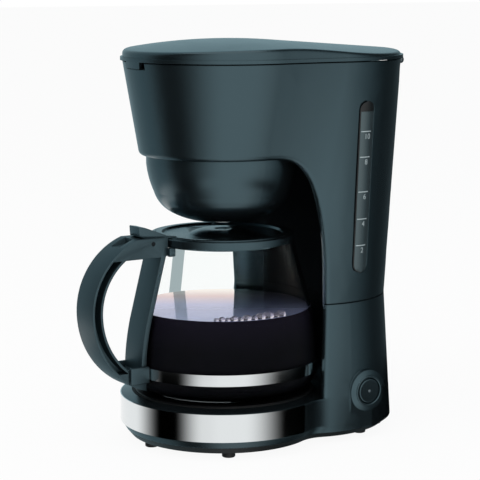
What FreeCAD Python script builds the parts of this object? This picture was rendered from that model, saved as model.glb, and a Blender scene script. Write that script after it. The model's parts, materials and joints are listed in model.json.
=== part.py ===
import FreeCAD, Part
import math
import os
import re
import Sketcher

# Drip coffee maker in millimetres, +Z up, standing on its feet at z = 0, front towards -Y.
# Pieces are drawn about the carafe's axis; one shared shift along Y then centres the whole machine.

sizes = {
    # General walls and clearances
    "wall": 2.5,
    "snug": 0.2,
    "running": 0.4,
    # Column behind the carafe, and the foot below it
    "column_offset": 72,
    "foot_height": 4.3,
    "base_seam": 9,
    "base_toe": 7.2,
    "base_column_low": 67,
    "base_step": 3.2,
    "ring_height": 14.2,
    "ring_radius": 78.2,
    "waist_fillet": 25,
    "column_radius_low": 73,
    "column_radius_seam": 67,
    "housing_seam": 107,
    "edge_round": 4,
    "rim_width": 8.2,
    "rim_slope": 2.6,
    "boss_radius": 4,
    "vent_slot": 3,
    "vent_pitch": 8,
    # Steel trim band round the foot
    "band_low": 14.6,
    "band_high": 35.4,
    "band_thickness": 0.8,
    "band_sweep": 216,
    # Carafe bay: a cylinder that arches over to the bowl's opening
    "bay_clear": 4.5,
    "arch_height": 89,
    "bay_opening": 58,
    # Head and upper column
    "bowl_depth": 50.6,
    "rim_rise": 6.7,
    "front_wall": 5,
    "front_inset": 3,
    "shell_inset": 0.2,
    "shell_fillet_low": 150,
    "shell_fillet_top": 300,
    "ledge_width": 6,
    "ledge_height": 4.6,
    # Top lid: a crowned barrel that runs out straight to the back
    "lid_gap": 0.6,
    "lid_lip": 1.7,
    "lid_lip_height": 2.6,
    "lid_rise": 16.1,
    "lid_peak_back": 8,
    "lid_arc": 420,
    "lid_crown": 500,
    "lid_straight_from": 40,
    "lid_edge_round": 3.5,
    "tab_left": 18,
    "tab_right": 4.5,
    "tab_drop": 4.5,
    "notch_right": 10.5,
    "hinge_pin_radius": 1.4,
    "hinge_radius": 2.7,
    "hinge_half": 23,
    "hinge_knuckle": 8,
    "hinge_ear": 6,
    # Inner deck, brew bowl and filter
    "deck_rise": 64,
    "deck_thickness": 2.5,
    "bowl_wall": 2,
    "head_gap": 15.4,
    "seat_rise": 1.4,
    "bowl_flange": 1.9,
    "bowl_flat": 15,
    "bowl_dish": 40,
    "bowl_dish_rise": 7.4,
    "bowl_dish_arc": 60,
    "bowl_corner_in": 5.6,
    "bowl_corner_rise": 22.6,
    "bowl_corner_arc": 26,
    "bowl_side_rise": 44,
    "bowl_side_arc": 70,
    "nozzle_flare": 1,
    "nozzle_radius": 8,
    "nozzle_drop": 3.2,
    "valve_stem": 3.8,
    "valve_head": 8,
    "valve_head_height": 2.5,
    "valve_proud": 0.6,
    "valve_seal_height": 1.5,
    "valve_round": 1,
    "valve_turns": 5,
    "basket_rim": 3,
    "basket_rise": 19.6,
    "basket_floor_radius": 30,
    "basket_wall": 1.8,
    "mesh_wall": 0.8,
    "spray_radius": 22,
    "spray_height": 7,
    "spray_rise": 6.5,
    "spray_stub": 6,
    "spring_wire": 0.8,
    # Water tank and its hoses
    "tank_wall": 2,
    "tank_gap": 1.2,
    "tank_stand": 5.5,
    "riser_x": 36,
    "riser_stand": 5.5,
    "hose_radius": 4.5,
    "hose_bore": 3,
    "hose_bend": 7.5,
    "inlet_step": 11,
    "nipple_length": 8,
    "check_valve_radius": 7,
    "check_valve_length": 12,
    "check_valve_shoulder": 2,
    "fill_width": 80,
    "fill_depth": 34,
    "fill_inset": 35,
    # Water gauge on the right side
    "gauge_y": 82,
    "gauge_width": 11,
    "gauge_rise": 24,
    "gauge_drop": 30.7,
    # Hot plate and heater
    "plate_gap": 2,
    "plate_top": 39,
    "plate_thickness": 1.4,
    "gasket_height": 1.7,
    "gasket_width": 5.6,
    "gasket_lip": 0.5,
    "heater_radius": 41,
    "heater_width": 20,
    "heater_height": 6.6,
    "heater_gap": 3.1,
    "water_tube_radius": 4.4,
    "water_tube_run": 36,
    "heater_rod_radius": 3.8,
    "heater_rod_run": 46,
    "tube_leg": 60,
    "thermostat_radius": 9,
    "thermostat_height": 8,
    "thermostat_step": 3,
    "fuse_radius": 2.2,
    "fuse_length": 16,
    # Power switch on the right side
    "switch_y": 85.5,
    "switch_z": 38,
    "pad_face": 72.2,
    "pad_half": 16,
    "pad_swell": 1.5,
    "bezel_tube": 12.3,
    "bezel_height": 3.4,
    "bezel_depth": 6.2,
    "bezel_round": 0.8,
    "button_radius": 9.5,
    "button_proud": 3,
    "button_thickness": 4.2,
    "button_stem": 3,
    "button_stem_reach": 3,
    "button_round": 1,
    "button_turns": 4,
    "lens_radius": 1.2,
    "lens_depth": 1,
    "lens_dome": 0.4,
    "lens_arc": 2,
    "switch_length": 18,
    "switch_side": 17,
    "button_wire": 0.5,
    "wire_radius": 1.3,
    "gland_radius": 6.5,
    "gland_bore": 3.6,
    "gland_flange": 2,
    "gland_cone": 1,
    "gland_z": 26,
    # Feet and screws
    "foot_radius": 5,
    "foot_inset": 7,
    "foot_side_y": -31,
    "foot_rear_x": 54,
    "foot_rear_y": 92,
    "screw_inset": 11.7,
    "screw_rear_x": 36,
    "screw_rear_y": 120,
    "screw_radius": 1.5,
    "screw_head": 3.2,
    "screw_drive": 0.8,
    # Carafe
    "seat_gap": 0.3,
    "belly_radius": 74,
    "belly_height": 58,
    "belly_arc": 170,
    "shoulder_height": 103,
    "neck_step": 3.1,
    "neck_height": 153,
    "glass_wall": 2.4,
    "mouth_radius": 51.5,
    "mouth_height": 4,
    "mouth_step": 1,
    "neck_inner": 2.88,
    "neck_inner_drop": 2,
    "shoulder_inner_drop": 0.5,
    "collar_width": 3.7,
    "collar_height": 6,
    "collar_low": 0.4,
    "collar_round": 1,
    "cap_height": 2.4,
    "cap_dome_rise": 8.8,
    "cap_hole": 6,
    "cap_skirt": 6,
    "cap_skirt_wall": 2,
    "cap_floor": 3.4,
    "cap_hole_drop": 2,
    "cap_slope": 18,
    "cap_round": 0.6,
    "cap_rim": 5,
    "cap_rim_foot": 6,
    "cap_well": 1.8,
    "cap_dome_foot": 20,
    "cap_dome_flat": 5,
    "cap_dome_arc": 30,
    "hinge_stand": 13.3,
    "hinge_rise": 4,
    "cap_pin_radius": 1.7,
    "lever_half": 7,
    "lever_wall": 2,
    "lever_round": 1,
    "lever_fall": 0.8,
    "lever_root": 1.6,
    "lever_toe": 0.5,
    "lever_throat": 2.3,
    "lever_bend": 2,
    "lever_length": 15.5,
    "lever_rise": 16.5,
    # Handle and the steel strap that holds it
    "grip_reach": 46,
    "handle_half": 12.5,
    "handle_rise": 8,
    "handle_low": 49,
    "handle_run": 8,
    "handle_mid": 108,
    "grip_thickness": 8.5,
    "grip_flange": 1.8,
    "grip_web": 3,
    "handle_block_drop": 6.5,
    "handle_stand_off": 1.6,
    "handle_strap": 4,
    "handle_heel": 2,
    "handle_chamfer": 2,
    "handle_play": 0.8,
    "finger_overlap": 2,
    "thumb_length": 12,
    "thumb_shallow": 4,
    "thumb_deep": 6,
    "thumb_inset": 1,
    "strap_low": 55.5,
    "strap_high": 64,
    "strap_thickness": 0.7,
    "strap_ear": 13,
    "strap_screw_inset": 4,
    "strap_screw_radius": 1.6,
}

# Radii and heights that follow from the sizes above
following = {
    "base_front_low": "ring_radius - base_toe",
    "base_front_seam": "ring_radius - base_step",
    "rim_radius": "ring_radius - rim_width",
    "plate_radius": "rim_radius - plate_gap",
    "heater_edge": "heater_radius + heater_width / 2",
    "heater_leg": "sqrt((rim_radius - gasket_width - heater_gap) ^ 2 - heater_edge ^ 2)",
    "foot_front": "base_front_low - foot_inset",
    "foot_side_x": "sqrt(foot_front ^ 2 - foot_side_y ^ 2)",
    "screw_front_x": "(ring_radius - screw_inset) / sqrt(2)",
    "screw_front_y": "-screw_front_x",
    "bay_radius": "belly_radius + bay_clear",
    "tank_front": "bay_radius + tank_stand",
    "riser_y": "bay_radius + riser_stand",
    "inlet_y": "riser_y + inlet_step",
    "bowl_bottom": "neck_height + head_gap",
    "nozzle_end": "bowl_bottom - nozzle_drop",
    "valve_tip": "nozzle_end - valve_proud",
    "basket_floor": "bowl_bottom + basket_rise",
    "shell_low": "bowl_bottom + bowl_depth",
    "bowl_seat": "shell_low + seat_rise",
    "bay_spring": "shell_low - arch_height",
    "deck_low": "shell_low + deck_rise",
    "shell_top": "deck_low + rim_rise",
    "spray_low": "deck_low + spray_rise",
    "lid_peak": "shell_top + lid_rise",
    "gauge_low": "housing_seam + gauge_rise",
    "gauge_high": "shell_top - gauge_drop",
    "shell_column_top": "ring_radius - shell_inset",
    "shell_front_top": "shell_column_top - front_inset",
    "shell_front_low": "bay_opening + front_wall",
    "fill_back": "column_offset + shell_column_top - fill_inset",
    "neck_radius": "mouth_radius + neck_step",
    "collar_radius": "mouth_radius + collar_width",
    "collar_top": "neck_height + collar_height",
    "cap_dome": "neck_height + cap_dome_rise",
    "hinge_y": "collar_radius + hinge_stand",
    "hinge_z": "neck_height + hinge_rise",
    "lever_reach": "hinge_y + lever_length",
    "lever_top": "neck_height + lever_rise",
    "handle_reach": "belly_radius + grip_reach",
    "handle_root": "belly_radius + handle_run",
    "handle_top": "neck_height + handle_rise",
    "handle_block": "neck_height - handle_block_drop",
}

doc = FreeCAD.newDocument("coffee_maker")
sheet = doc.addObject("Spreadsheet::Sheet", "Sizes")
cells = sizes | {name: "=" + rule for name, rule in following.items()}
for row, (name, content) in enumerate(cells.items(), 1):
    sheet.set(f"A{row}", name)
    sheet.set(f"B{row}", str(content))
    sheet.setAlias(f"B{row}", name)
doc.recompute()

# Half the difference between the handle's reach and the lid's reach centres the machine along Y
machine_shift = "(handle_reach - column_offset - shell_column_top - lid_lip) / 2"

pieces = []
vector = FreeCAD.Vector
up = vector(0, 0, 1)


def formula(text):
    # Every word that is a cell's alias gets the sheet's name in front; functions stay as they are
    return re.sub(r"[a-z]\w*", lambda word: "Sizes." * (word.group() in cells) + word.group(), str(text))


def size(text):
    return float(sheet.evalExpression(formula(text)))


def keep(piece, label, x="0", y="0", z="0"):
    piece.Label = label
    places = {"x": x, "y": f"{y} + {machine_shift}", "z": z}
    for axis, place in places.items():
        piece.setExpression(f"Placement.Base.{axis}", formula(place))
    pieces.append(piece)
    return piece


# Sketches and bodies

def new_sketch(body, role, name):
    sketch = body.newObject("Sketcher::SketchObject", name)
    plane = next(item for item in body.Origin.OriginFeatures if item.Role == role)
    sketch.AttachmentSupport = [(plane, "")]
    sketch.MapMode = "FlatFace"
    return sketch


def arc_between(start, stop, radius, turn):
    # Arc from start to stop under a half circle; turn is 1 when it bends left and -1 when right
    chord = stop - start
    rise = math.sqrt(radius ** 2 - (chord.Length / 2) ** 2)
    left = vector(-chord.y, chord.x, 0).normalize()
    centre = (start + stop) / 2 + left * rise * turn
    first, last = (start, stop) if turn > 0 else (stop, start)
    angles = [math.atan2(point.y - centre.y, point.x - centre.x) for point in (first, last)]
    if angles[1] < angles[0]:
        angles[1] += 2 * math.pi
    return Part.ArcOfCircle(Part.Circle(centre, up, radius), angles[0], angles[1])


def tie_point(sketch, edge, end, corner):
    for kind, axis, place in (("DistanceX", -2, corner[0]), ("DistanceY", -1, corner[1])):
        if str(place) == "0":
            sketch.addConstraint(Sketcher.Constraint("PointOnObject", edge, end, axis))
        else:
            rule = sketch.addConstraint(Sketcher.Constraint(kind, -1, 1, edge, end, size(place)))
            sketch.setExpression(f"Constraints[{rule}]", formula(place))


def draw(sketch, corners):
    # Closed outline; a corner with a radius and a turn is reached by an arc, the others by a line
    spots = [vector(size(corner[0]), size(corner[1]), 0) for corner in corners]
    base = sketch.GeometryCount
    ends = []
    for index, corner in enumerate(corners):
        start, stop = spots[index - 1], spots[index]
        if len(corner) == 2:
            sketch.addGeometry(Part.LineSegment(start, stop))
            ends.append((1, 2))
        else:
            sketch.addGeometry(arc_between(start, stop, size(corner[2]), corner[3]))
            ends.append((1, 2) if corner[3] > 0 else (2, 1))
    for index, corner in enumerate(corners):
        after = (index + 1) % len(corners)
        edge, end = base + index, ends[index][1]
        sketch.addConstraint(Sketcher.Constraint("Coincident", edge, end, base + after, ends[after][0]))
        tie_point(sketch, edge, end, corner)
        if len(corner) > 2:
            rule = sketch.addConstraint(Sketcher.Constraint("Radius", edge, size(corner[2])))
            sketch.setExpression(f"Constraints[{rule}]", formula(corner[2]))


def turned(label, corners, plane="XZ_Plane", axis="V_Axis", sweep=None, **place):
    body = doc.addObject("PartDesign::Body", label)
    sketch = new_sketch(body, plane, label + "_profile")
    draw(sketch, corners)
    feature = body.newObject("PartDesign::Revolution", label + "_turn")
    feature.Profile = sketch
    feature.ReferenceAxis = (sketch, [axis])
    feature.Angle = 360
    if sweep:
        feature.Midplane = True
        feature.setExpression("Angle", formula(sweep))
    return keep(body, label, **place)


def padded(label, corners, length, plane="XY_Plane", both_ways=False, **place):
    body = doc.addObject("PartDesign::Body", label)
    sketch = new_sketch(body, plane, label + "_outline")
    draw(sketch, corners)
    feature = body.newObject("PartDesign::Pad", label + "_pad")
    feature.Profile = sketch
    feature.Midplane = both_ways
    feature.setExpression("Length", formula(length))
    return keep(body, label, **place)


def pocketed(body, name, corners, plane, width=None, offset="0", outward=False):
    # Cut of a given width about the sketch, or through everything on one side of it
    sketch = new_sketch(body, plane, name + "_outline")
    sketch.setExpression(".AttachmentOffset.Base.z", formula(offset))
    draw(sketch, corners)
    feature = body.newObject("PartDesign::Pocket", name)
    feature.Profile = sketch
    feature.Reversed = outward
    if width:
        feature.Midplane = True
        feature.setExpression("Length", formula(width))
    else:
        feature.Type = "ThroughAll"
    return feature


def bored(body, name, radius, spots, plane="XY_Plane"):
    # Round holes straight through a body, one at each spot
    sketch = new_sketch(body, plane, name + "_outline")
    for spot in spots:
        hole = sketch.addGeometry(Part.Circle(vector(size(spot[0]), size(spot[1]), 0), up, size(radius)))
        tie_point(sketch, hole, 3, spot)
        rule = sketch.addConstraint(Sketcher.Constraint("Radius", hole, size(radius)))
        sketch.setExpression(f"Constraints[{rule}]", formula(radius))
    feature = body.newObject("PartDesign::Pocket", name)
    feature.Profile = sketch
    feature.Type = "ThroughAll"
    feature.Midplane = True
    return feature


# Part primitives and booleans

def primitive(kind, name, turn=None, x="0", y="0", z="0", **measures):
    solid = doc.addObject("Part::" + kind, name)
    for measure, text in measures.items():
        solid.setExpression(measure, formula(text))
    if turn:
        solid.Placement = FreeCAD.Placement(vector(), FreeCAD.Rotation(vector(*turn[0]), turn[1]))
    for axis, place in {"x": x, "y": y, "z": z}.items():
        solid.setExpression(f"Placement.Base.{axis}", formula(place))
    return solid


def cut(name, base, tool):
    solid = doc.addObject("Part::Cut", name)
    solid.Base = base
    solid.Tool = tool
    return solid


def shaped(label, shape, **place):
    piece = doc.addObject("Part::Feature", label)
    piece.Shape = shape
    return keep(piece, label, **place)


# Shapes worked out from the sheet

def outline(front, rear, fillet, height):
    # Front circle about the carafe's axis, rear circle about the column's, joined by hollow fillets
    offset = size("column_offset")
    reach_front, reach_rear = front + fillet, rear + fillet
    y = (reach_front ** 2 - reach_rear ** 2 + offset ** 2) / (2 * offset)
    x = math.sqrt(reach_front ** 2 - y ** 2)
    hollow = vector(x, y, height)
    column = vector(0, offset, height)
    front_touch = vector(0, 0, height) + vector(x, y, 0) * (front / reach_front)
    rear_touch = column + (hollow - column) * (rear / reach_rear)
    toward = (front_touch + rear_touch) / 2 - hollow
    middle = hollow + toward.normalize() * fillet

    def mirrored(point):
        return vector(-point.x, point.y, point.z)

    edges = [
        Part.Arc(mirrored(front_touch), vector(0, -front, height), front_touch),
        Part.Arc(front_touch, middle, rear_touch),
        Part.Arc(rear_touch, vector(0, offset + rear, height), mirrored(rear_touch)),
        Part.Arc(mirrored(rear_touch), mirrored(middle), mirrored(front_touch)),
    ]
    return Part.Wire([edge.toShape() for edge in edges])


def loft(*sections):
    return Part.makeLoft(list(sections), True, True)


def slab(section, height):
    return Part.Face(section).extrude(vector(0, 0, height))


def rod(radius, start, stop):
    way = vector(*stop) - vector(*start)
    return Part.makeCylinder(radius, way.Length, vector(*start), way)


def block(low, high):
    span = vector(*high) - vector(*low)
    return Part.makeBox(span.x, span.y, span.z, vector(*low))


def mirror_x(shape):
    return shape.mirror(vector(), vector(1, 0, 0))


def pipe(points, bend, radius):
    # Round tube along straight runs joined by tangent arcs
    points = [vector(*point) for point in points]
    edges = []
    last = points[0]
    for before, corner, after in zip(points, points[1:], points[2:]):
        to_before = (before - corner).normalize()
        to_after = (after - corner).normalize()
        half = to_before.getAngle(to_after) / 2
        run = bend / math.tan(half)
        first, second = corner + to_before * run, corner + to_after * run
        bisector = (to_before + to_after).normalize()
        middle = corner + bisector * (bend / math.sin(half) - bend)
        edges.append(Part.LineSegment(last, first).toShape())
        edges.append(Part.Arc(first, middle, second).toShape())
        last = second
    edges.append(Part.LineSegment(last, points[-1]).toShape())
    return tube(edges, radius)


def tube(edges, radius):
    # Round bar along edges that follow on from each other
    start = edges[0].valueAt(edges[0].FirstParameter)
    heading = edges[0].tangentAt(edges[0].FirstParameter)
    section = Part.Wire(Part.makeCircle(radius, start, heading))
    return Part.Wire(edges).makePipeShell([section], True, False)


def coil(radius, wire, length, turns):
    # Round wire wound up the Z axis on pairs of arcs, four pairs to a turn
    count = 4 * turns
    climb = (length - wire) / count
    tangent_climb = climb * 2 / math.pi

    def spot(step):
        angle = step * math.pi / 2
        return vector(radius * math.cos(angle), radius * math.sin(angle), wire / 2 + step * climb)

    def heading(step):
        angle = step * math.pi / 2
        way = vector(-radius * math.sin(angle), radius * math.cos(angle), tangent_climb)
        return way.normalize()

    edges = []
    for step in range(count):
        start, stop = spot(step), spot(step + 1)
        leave, arrive = heading(step), heading(step + 1)
        chord = stop - start
        both = leave + arrive
        spread = 2 * (1 - leave.dot(arrive))
        reach = (math.sqrt(chord.dot(both) ** 2 + spread * chord.dot(chord)) - chord.dot(both)) / spread
        bends = (start + leave * reach, stop - arrive * reach)
        join = (bends[0] + bends[1]) / 2
        for near, bend, far in ((start, bends[0], join), (join, bends[1], stop)):
            weight = (far - near).Length / 2 / reach
            middle = (near + bend * (2 * weight) + far) / (2 + 2 * weight)
            edges.append(Part.Arc(near, middle, far).toShape())
    return tube(edges, wire / 2)


def turned_about_z(edges):
    return Part.Face(Part.Wire(Part.__sortEdges__(edges))).revolve(vector(), up, 360)


def bay(grow):
    # Space over the hot plate; grow moves its skin outwards by a wall
    spring = size("bay_spring")
    reach = size("bay_radius") + grow
    crown = size("shell_low") + grow
    inner = size("bay_opening")
    centre = vector(inner, 0, spring)
    arch = Part.Ellipse(vector(inner, 0, crown), vector(reach, 0, spring), centre)
    corners = [vector(0, 0, crown), vector(), vector(reach, 0, 0), vector(reach, 0, spring)]
    edges = [Part.makeLine(first, second) for first, second in zip(corners, corners[1:])]
    edges.append(Part.ArcOfEllipse(arch, 0, math.pi / 2).toShape())
    edges.append(Part.makeLine(vector(inner, 0, crown), corners[0]))
    return turned_about_z(edges)


# Upper housing: head and upper column as one thin shell, arched over the carafe

wall = size("wall")
seam = size("housing_seam")
top = size("shell_top")
low = size("shell_low")
slope = (size("shell_front_top") - size("shell_front_low")) / (top - low)
front_seam = size("shell_front_top") - slope * (top - seam)
column_slope = (size("shell_column_top") - size("column_radius_seam")) / (top - seam)
column_y = size("column_offset")
margin = 10


def head(grow, bottom, ceiling):
    # Outer form of the head and upper column between two heights, moved outwards by grow
    sections = []
    for height in (bottom, ceiling):
        share = (height - seam) / (top - seam)
        fillet = size("shell_fillet_low") + (size("shell_fillet_top") - size("shell_fillet_low")) * share
        front = front_seam + slope * (height - seam) + grow
        rear = size("column_radius_seam") + column_slope * (height - seam) + grow
        sections.append(outline(front, rear, fillet - grow, height))
    return loft(*sections)


def rounded_arch(solid):
    # Rounds the long edge where the bay's skin, the only turned faces, meets the lofted outside
    turned_kinds = ("SurfaceOfRevolution", "Cylinder")
    inner = [face for face in solid.Faces if type(face.Surface).__name__ in turned_kinds]
    outer = [face for face in solid.Faces if type(face.Surface).__name__ in ("BSplineSurface", "Cone")]
    edges = [edge for edge in solid.Edges if shared(edge, inner) and shared(edge, outer)]
    return solid.makeFillet(size("edge_round"), edges)


def shared(edge, faces):
    return any(edge.isSame(other) for face in faces for other in face.Edges)


def gauge_slot(grow):
    # Upright slot with round ends, cut in along X
    half = size("gauge_width") / 2 + grow
    y = size("gauge_y")
    bottom, ceiling = size("gauge_low + gauge_width / 2"), size("gauge_high - gauge_width / 2")
    inner, outer = size("column_radius_seam") / 2, size("shell_column_top") + margin
    solid = block((inner, y - half, bottom), (outer, y + half, ceiling))
    for height in (bottom, ceiling):
        solid = solid.fuse(rod(half, (inner, y, height), (outer, y, height)))
    return solid


ledge_top = seam + size("ledge_height")
deck_low = size("deck_low")
deck_top = deck_low + size("deck_thickness")
seat = size("bowl_seat")
hinge_height = top + size("lid_gap") - size("hinge_radius") - size("running")
hinge_back = column_y + size("shell_column_top + lid_lip - hinge_radius - running")
knuckle_half = size("hinge_half")
ear_half = knuckle_half + size("running") + size("hinge_ear")


def hinge_barrel(radius, start, stop):
    return rod(radius, (start, hinge_back, hinge_height), (stop, hinge_back, hinge_height))


def upper_housing():
    outside = rounded_arch(head(0, seam, top).cut(bay(0)))
    room = head(-wall, ledge_top, top + margin).cut(bay(wall))
    passage = head(-wall - size("ledge_width"), seam - margin, ledge_top + 1).cut(bay(2 * wall))
    bowl_hole = rod(size("bay_opening + snug"), (0, 0, low - margin), (0, 0, top))
    bowl_seat = rod(size("bay_opening + bowl_flange"), (0, 0, seat), (0, 0, deck_top))
    shell = outside.cut(room).cut(passage).cut(bowl_hole).cut(bowl_seat).cut(gauge_slot(0))
    left, right = -size("tab_left + running"), size("notch_right")
    drop = size("tab_drop + running")
    shell = shell.cut(block((left, -size("shell_front_top") - margin, top - drop), (right, 0, top + margin)))
    # Two ears at the back carry the lid's pins, with room between them for its knuckles
    for side in (-1, 1):
        inner, outer = sorted((side * (knuckle_half + size("running")), side * ear_half))
        ear = hinge_barrel(size("hinge_radius"), inner, outer)
        base_low = hinge_height - size("hinge_radius")
        web = block((inner, hinge_back - 3 * wall, base_low), (outer, hinge_back, hinge_height))
        shell = shell.fuse(ear).fuse(web.cut(room))
    room_low = hinge_height - size("hinge_radius + running")
    reach = knuckle_half + size("running")
    back = hinge_back + margin
    knuckle_room = block((-reach, hinge_back - 2 * wall, room_low), (reach, back, top + margin))
    shell = shell.cut(knuckle_room)
    shell = shell.cut(hinge_barrel(size("hinge_pin_radius"), -ear_half, ear_half))
    return shell.removeSplitter()


def gauge_window():
    # Clear window that fills the slot, flush with the housing's skin
    return gauge_slot(-size("snug")).common(head(0, seam, top).cut(head(-wall, seam, top)))


shaped("upper_housing", upper_housing())
shaped("gauge_window", gauge_window())


# Lower housing: foot ring, lower column and the pad for the switch

base_seam = size("base_seam")
ring = size("ring_radius")
rim_low = size("band_high")
rim_top = rim_low + size("rim_slope")
lower_slope = (size("column_radius_low") - size("column_radius_seam")) / (seam - base_seam)
plate_low = size("plate_top - plate_thickness")
gasket_low = plate_low - size("gasket_height")
ceiling_low = gasket_low - wall


def column_radius(height):
    return size("column_radius_low") - lower_slope * (height - base_seam)


def foot_ring(grow, bottom, ceiling):
    fillet = size("waist_fillet") - grow
    sections = [outline(size("base_front_seam") + grow, column_radius(bottom) + grow, fillet, bottom)]
    for height in (size("ring_height"), ceiling):
        sections.append(outline(ring + grow, column_radius(height) + grow, fillet, height))
    return loft(*sections)


def column(grow, bottom, ceiling):
    low_radius, high_radius = column_radius(bottom) + grow, column_radius(ceiling) + grow
    base = vector(0, column_y, bottom)
    return Part.makeCone(low_radius, high_radius, ceiling - bottom, base).cut(bay(-grow))


def switch_pad(grow):
    # Flat pad under the switch, round at its top and running down to the seam
    half = size("pad_half") + grow
    y, z = size("switch_y"), size("switch_z")
    inner, face = size("pad_face") / 2, size("pad_face") + grow
    solid = block((inner, y - half, base_seam), (face, y + half, z))
    solid = solid.fuse(rod(half, (inner, y, z), (face, y, z)))
    reach = size("column_radius_low + pad_swell") + grow
    return solid.common(Part.makeCylinder(reach, seam, vector(0, column_y, 0)))


def screw_spots():
    rows = (("screw_front_x", "screw_front_y"), ("screw_rear_x", "screw_rear_y"))
    return [(side * size(x), size(y)) for x, y in rows for side in (-1, 1)]


def lower_housing():
    outside = foot_ring(0, base_seam, rim_low)
    rim = Part.makeCone(ring, size("rim_radius"), rim_top - rim_low, vector(0, 0, rim_low))
    outside = outside.fuse(rim).fuse(rounded_arch(column(0, rim_low, seam))).fuse(switch_pad(0))
    room = foot_ring(-wall, base_seam, ceiling_low).fuse(column(-wall, ceiling_low, seam))
    room = room.fuse(switch_pad(-wall).common(block((0, 0, 0), (2 * ring, 2 * column_y, seam))))
    shell = outside.cut(room)
    for x, y in screw_spots():
        # Each boss stands on a rib that runs out to the wall
        boss = rod(size("boss_radius"), (x, y, base_seam), (x, y, ceiling_low + 1))
        end = y + math.copysign(ring, y)
        rib = block((x - wall / 2, min(y, end), base_seam), (x + wall / 2, max(y, end), ceiling_low + 1))
        boss = boss.fuse(rib.common(foot_ring(-wall / 2, base_seam, rim_low)))
        shell = shell.fuse(boss).cut(rod(size("screw_radius"), (x, y, base_seam), (x, y, ceiling_low - wall)))
    y, z = size("switch_y"), size("switch_z")
    pad_face = size("pad_face")
    shell = shell.cut(rod(size("bezel_tube + snug"), (pad_face / 2, y, z), (pad_face + margin, y, z)))
    back = column_y + size("column_radius_low")
    level = size("gland_z")
    shell = shell.cut(rod(size("gland_radius + snug"), (0, back - 3 * wall, level), (0, back + wall, level)))
    well = rod(size("rim_radius"), (0, 0, gasket_low), (0, 0, rim_top + 1))
    opening = rod(size("rim_radius - gasket_width + 2 * snug"), (0, 0, ceiling_low - 1), (0, 0, rim_top + 1))
    return shell.cut(well).cut(opening).removeSplitter()


def base_plate():
    # Shallow tray that closes the foot, with slots that let air in
    foot = size("foot_height")
    fillet = size("waist_fillet")
    radii = [(size("base_front_low"), size("base_column_low"), foot),
             (size("base_front_seam"), size("column_radius_low"), base_seam)]
    outside = loft(*[outline(front, rear, fillet, height) for front, rear, height in radii])
    inside = [(front - wall, rear - wall, height) for front, rear, height in radii]
    room = loft(*[outline(front, rear, fillet + wall, height) for front, rear, height in inside])
    tray = outside.cut(room.common(block((-ring, -ring, foot + wall), (ring, 3 * ring, base_seam))))
    half, pitch = size("vent_slot") / 2, size("vent_pitch")
    for index in range(-3, 4):
        x = index * pitch
        vent = block((x - half, column_y - pitch, 0), (x + half, column_y + 2 * pitch, base_seam))
        tray = tray.cut(vent)
    for x, y in screw_spots():
        tray = tray.fuse(rod(size("boss_radius"), (x, y, foot), (x, y, base_seam)))
        tray = tray.cut(rod(size("screw_radius + snug"), (x, y, 0), (x, y, base_seam)))
        tray = tray.cut(rod(size("screw_head + snug"), (x, y, 0), (x, y, foot + wall / 2)))
    for x, y in foot_spots():
        tray = tray.cut(rod(size("foot_radius") / 2, (x, y, 0), (x, y, foot + wall)))
    return tray


def foot_spots():
    sides = (("foot_side_x", "foot_side_y"), ("foot_rear_x", "foot_rear_y"))
    spots = [(0, -size("foot_front"))]
    return spots + [(side * size(x), size(y)) for x, y in sides for side in (-1, 1)]


def rubber_feet():
    # Round pads with a rounded lower edge, each with a plug pressed into the tray
    foot, radius = size("foot_height"), size("foot_radius")
    feet = []
    for x, y in foot_spots():
        pad = Part.makeCylinder(radius, foot, vector(x, y, 0))
        pad = pad.makeFillet(foot / 4, [edge for edge in pad.Edges if edge.BoundBox.ZMax < foot / 2])
        feet.append(pad.fuse(rod(radius / 2 - size("snug"), (x, y, 0), (x, y, foot + wall))).removeSplitter())
    return Part.makeCompound(feet)


def base_screws():
    foot = size("foot_height")
    screws = []
    for x, y in screw_spots():
        shank = rod(size("screw_radius"), (x, y, foot + wall / 2), (x, y, ceiling_low - 2 * wall))
        cap = rod(size("screw_head"), (x, y, foot), (x, y, foot + wall / 2))
        long, wide = size("screw_head") / 2, size("screw_drive") / 2
        drive = block((x - long, y - wide, 0), (x + long, y + wide, foot + wall / 4))
        screws.append(cap.fuse(shank).cut(drive).removeSplitter())
    return Part.makeCompound(screws)


shaped("lower_housing", lower_housing())
shaped("base_plate", base_plate())
shaped("rubber_feet", rubber_feet())
shaped("base_screws", base_screws())
turned("base_trim_band", [
    ("-(ring_radius + snug / 2)", "band_low"),
    ("-(ring_radius + band_thickness + snug / 2)", "band_low"),
    ("-(ring_radius + band_thickness + snug / 2)", "band_high"),
    ("-(ring_radius + snug / 2)", "band_high"),
], plane="YZ_Plane", sweep="band_sweep")


# Top lid: crowned cover with a lip all round and a finger tab at the front

lid_low = top + size("lid_gap")


def lid_form(drop):
    # Solid under the crowned top: an arc along the machine that runs out straight to the back
    radius = size("lid_arc") - drop
    crown = size("lid_crown") - drop
    half = 2 * ring
    centre = vector(0, size("lid_peak_back"), size("lid_peak") - size("lid_arc"))
    lean = math.asin((size("lid_straight_from") - size("lid_peak_back")) / size("lid_arc"))
    depth = 2 * half
    sag = crown - math.sqrt(crown ** 2 - half ** 2)
    ridge = centre + vector(0, 0, radius)
    corners = [ridge + vector(-half, 0, -sag), ridge, ridge + vector(half, 0, -sag)]
    foot_corners = [ridge + vector(half, 0, -depth), ridge + vector(-half, 0, -depth)]
    edges = [Part.Arc(*corners).toShape(), Part.makeLine(corners[2], foot_corners[0]),
             Part.makeLine(foot_corners[0], foot_corners[1]), Part.makeLine(foot_corners[1], corners[0])]
    face = Part.Face(Part.Wire(edges))
    face.rotate(centre, vector(1, 0, 0), -math.degrees(lean))
    run = vector(0, math.cos(lean), -math.sin(lean)) * (2 * half)
    front = face.revolve(centre, vector(1, 0, 0), 30)
    return front.fuse(face.extrude(run)).removeSplitter()


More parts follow.
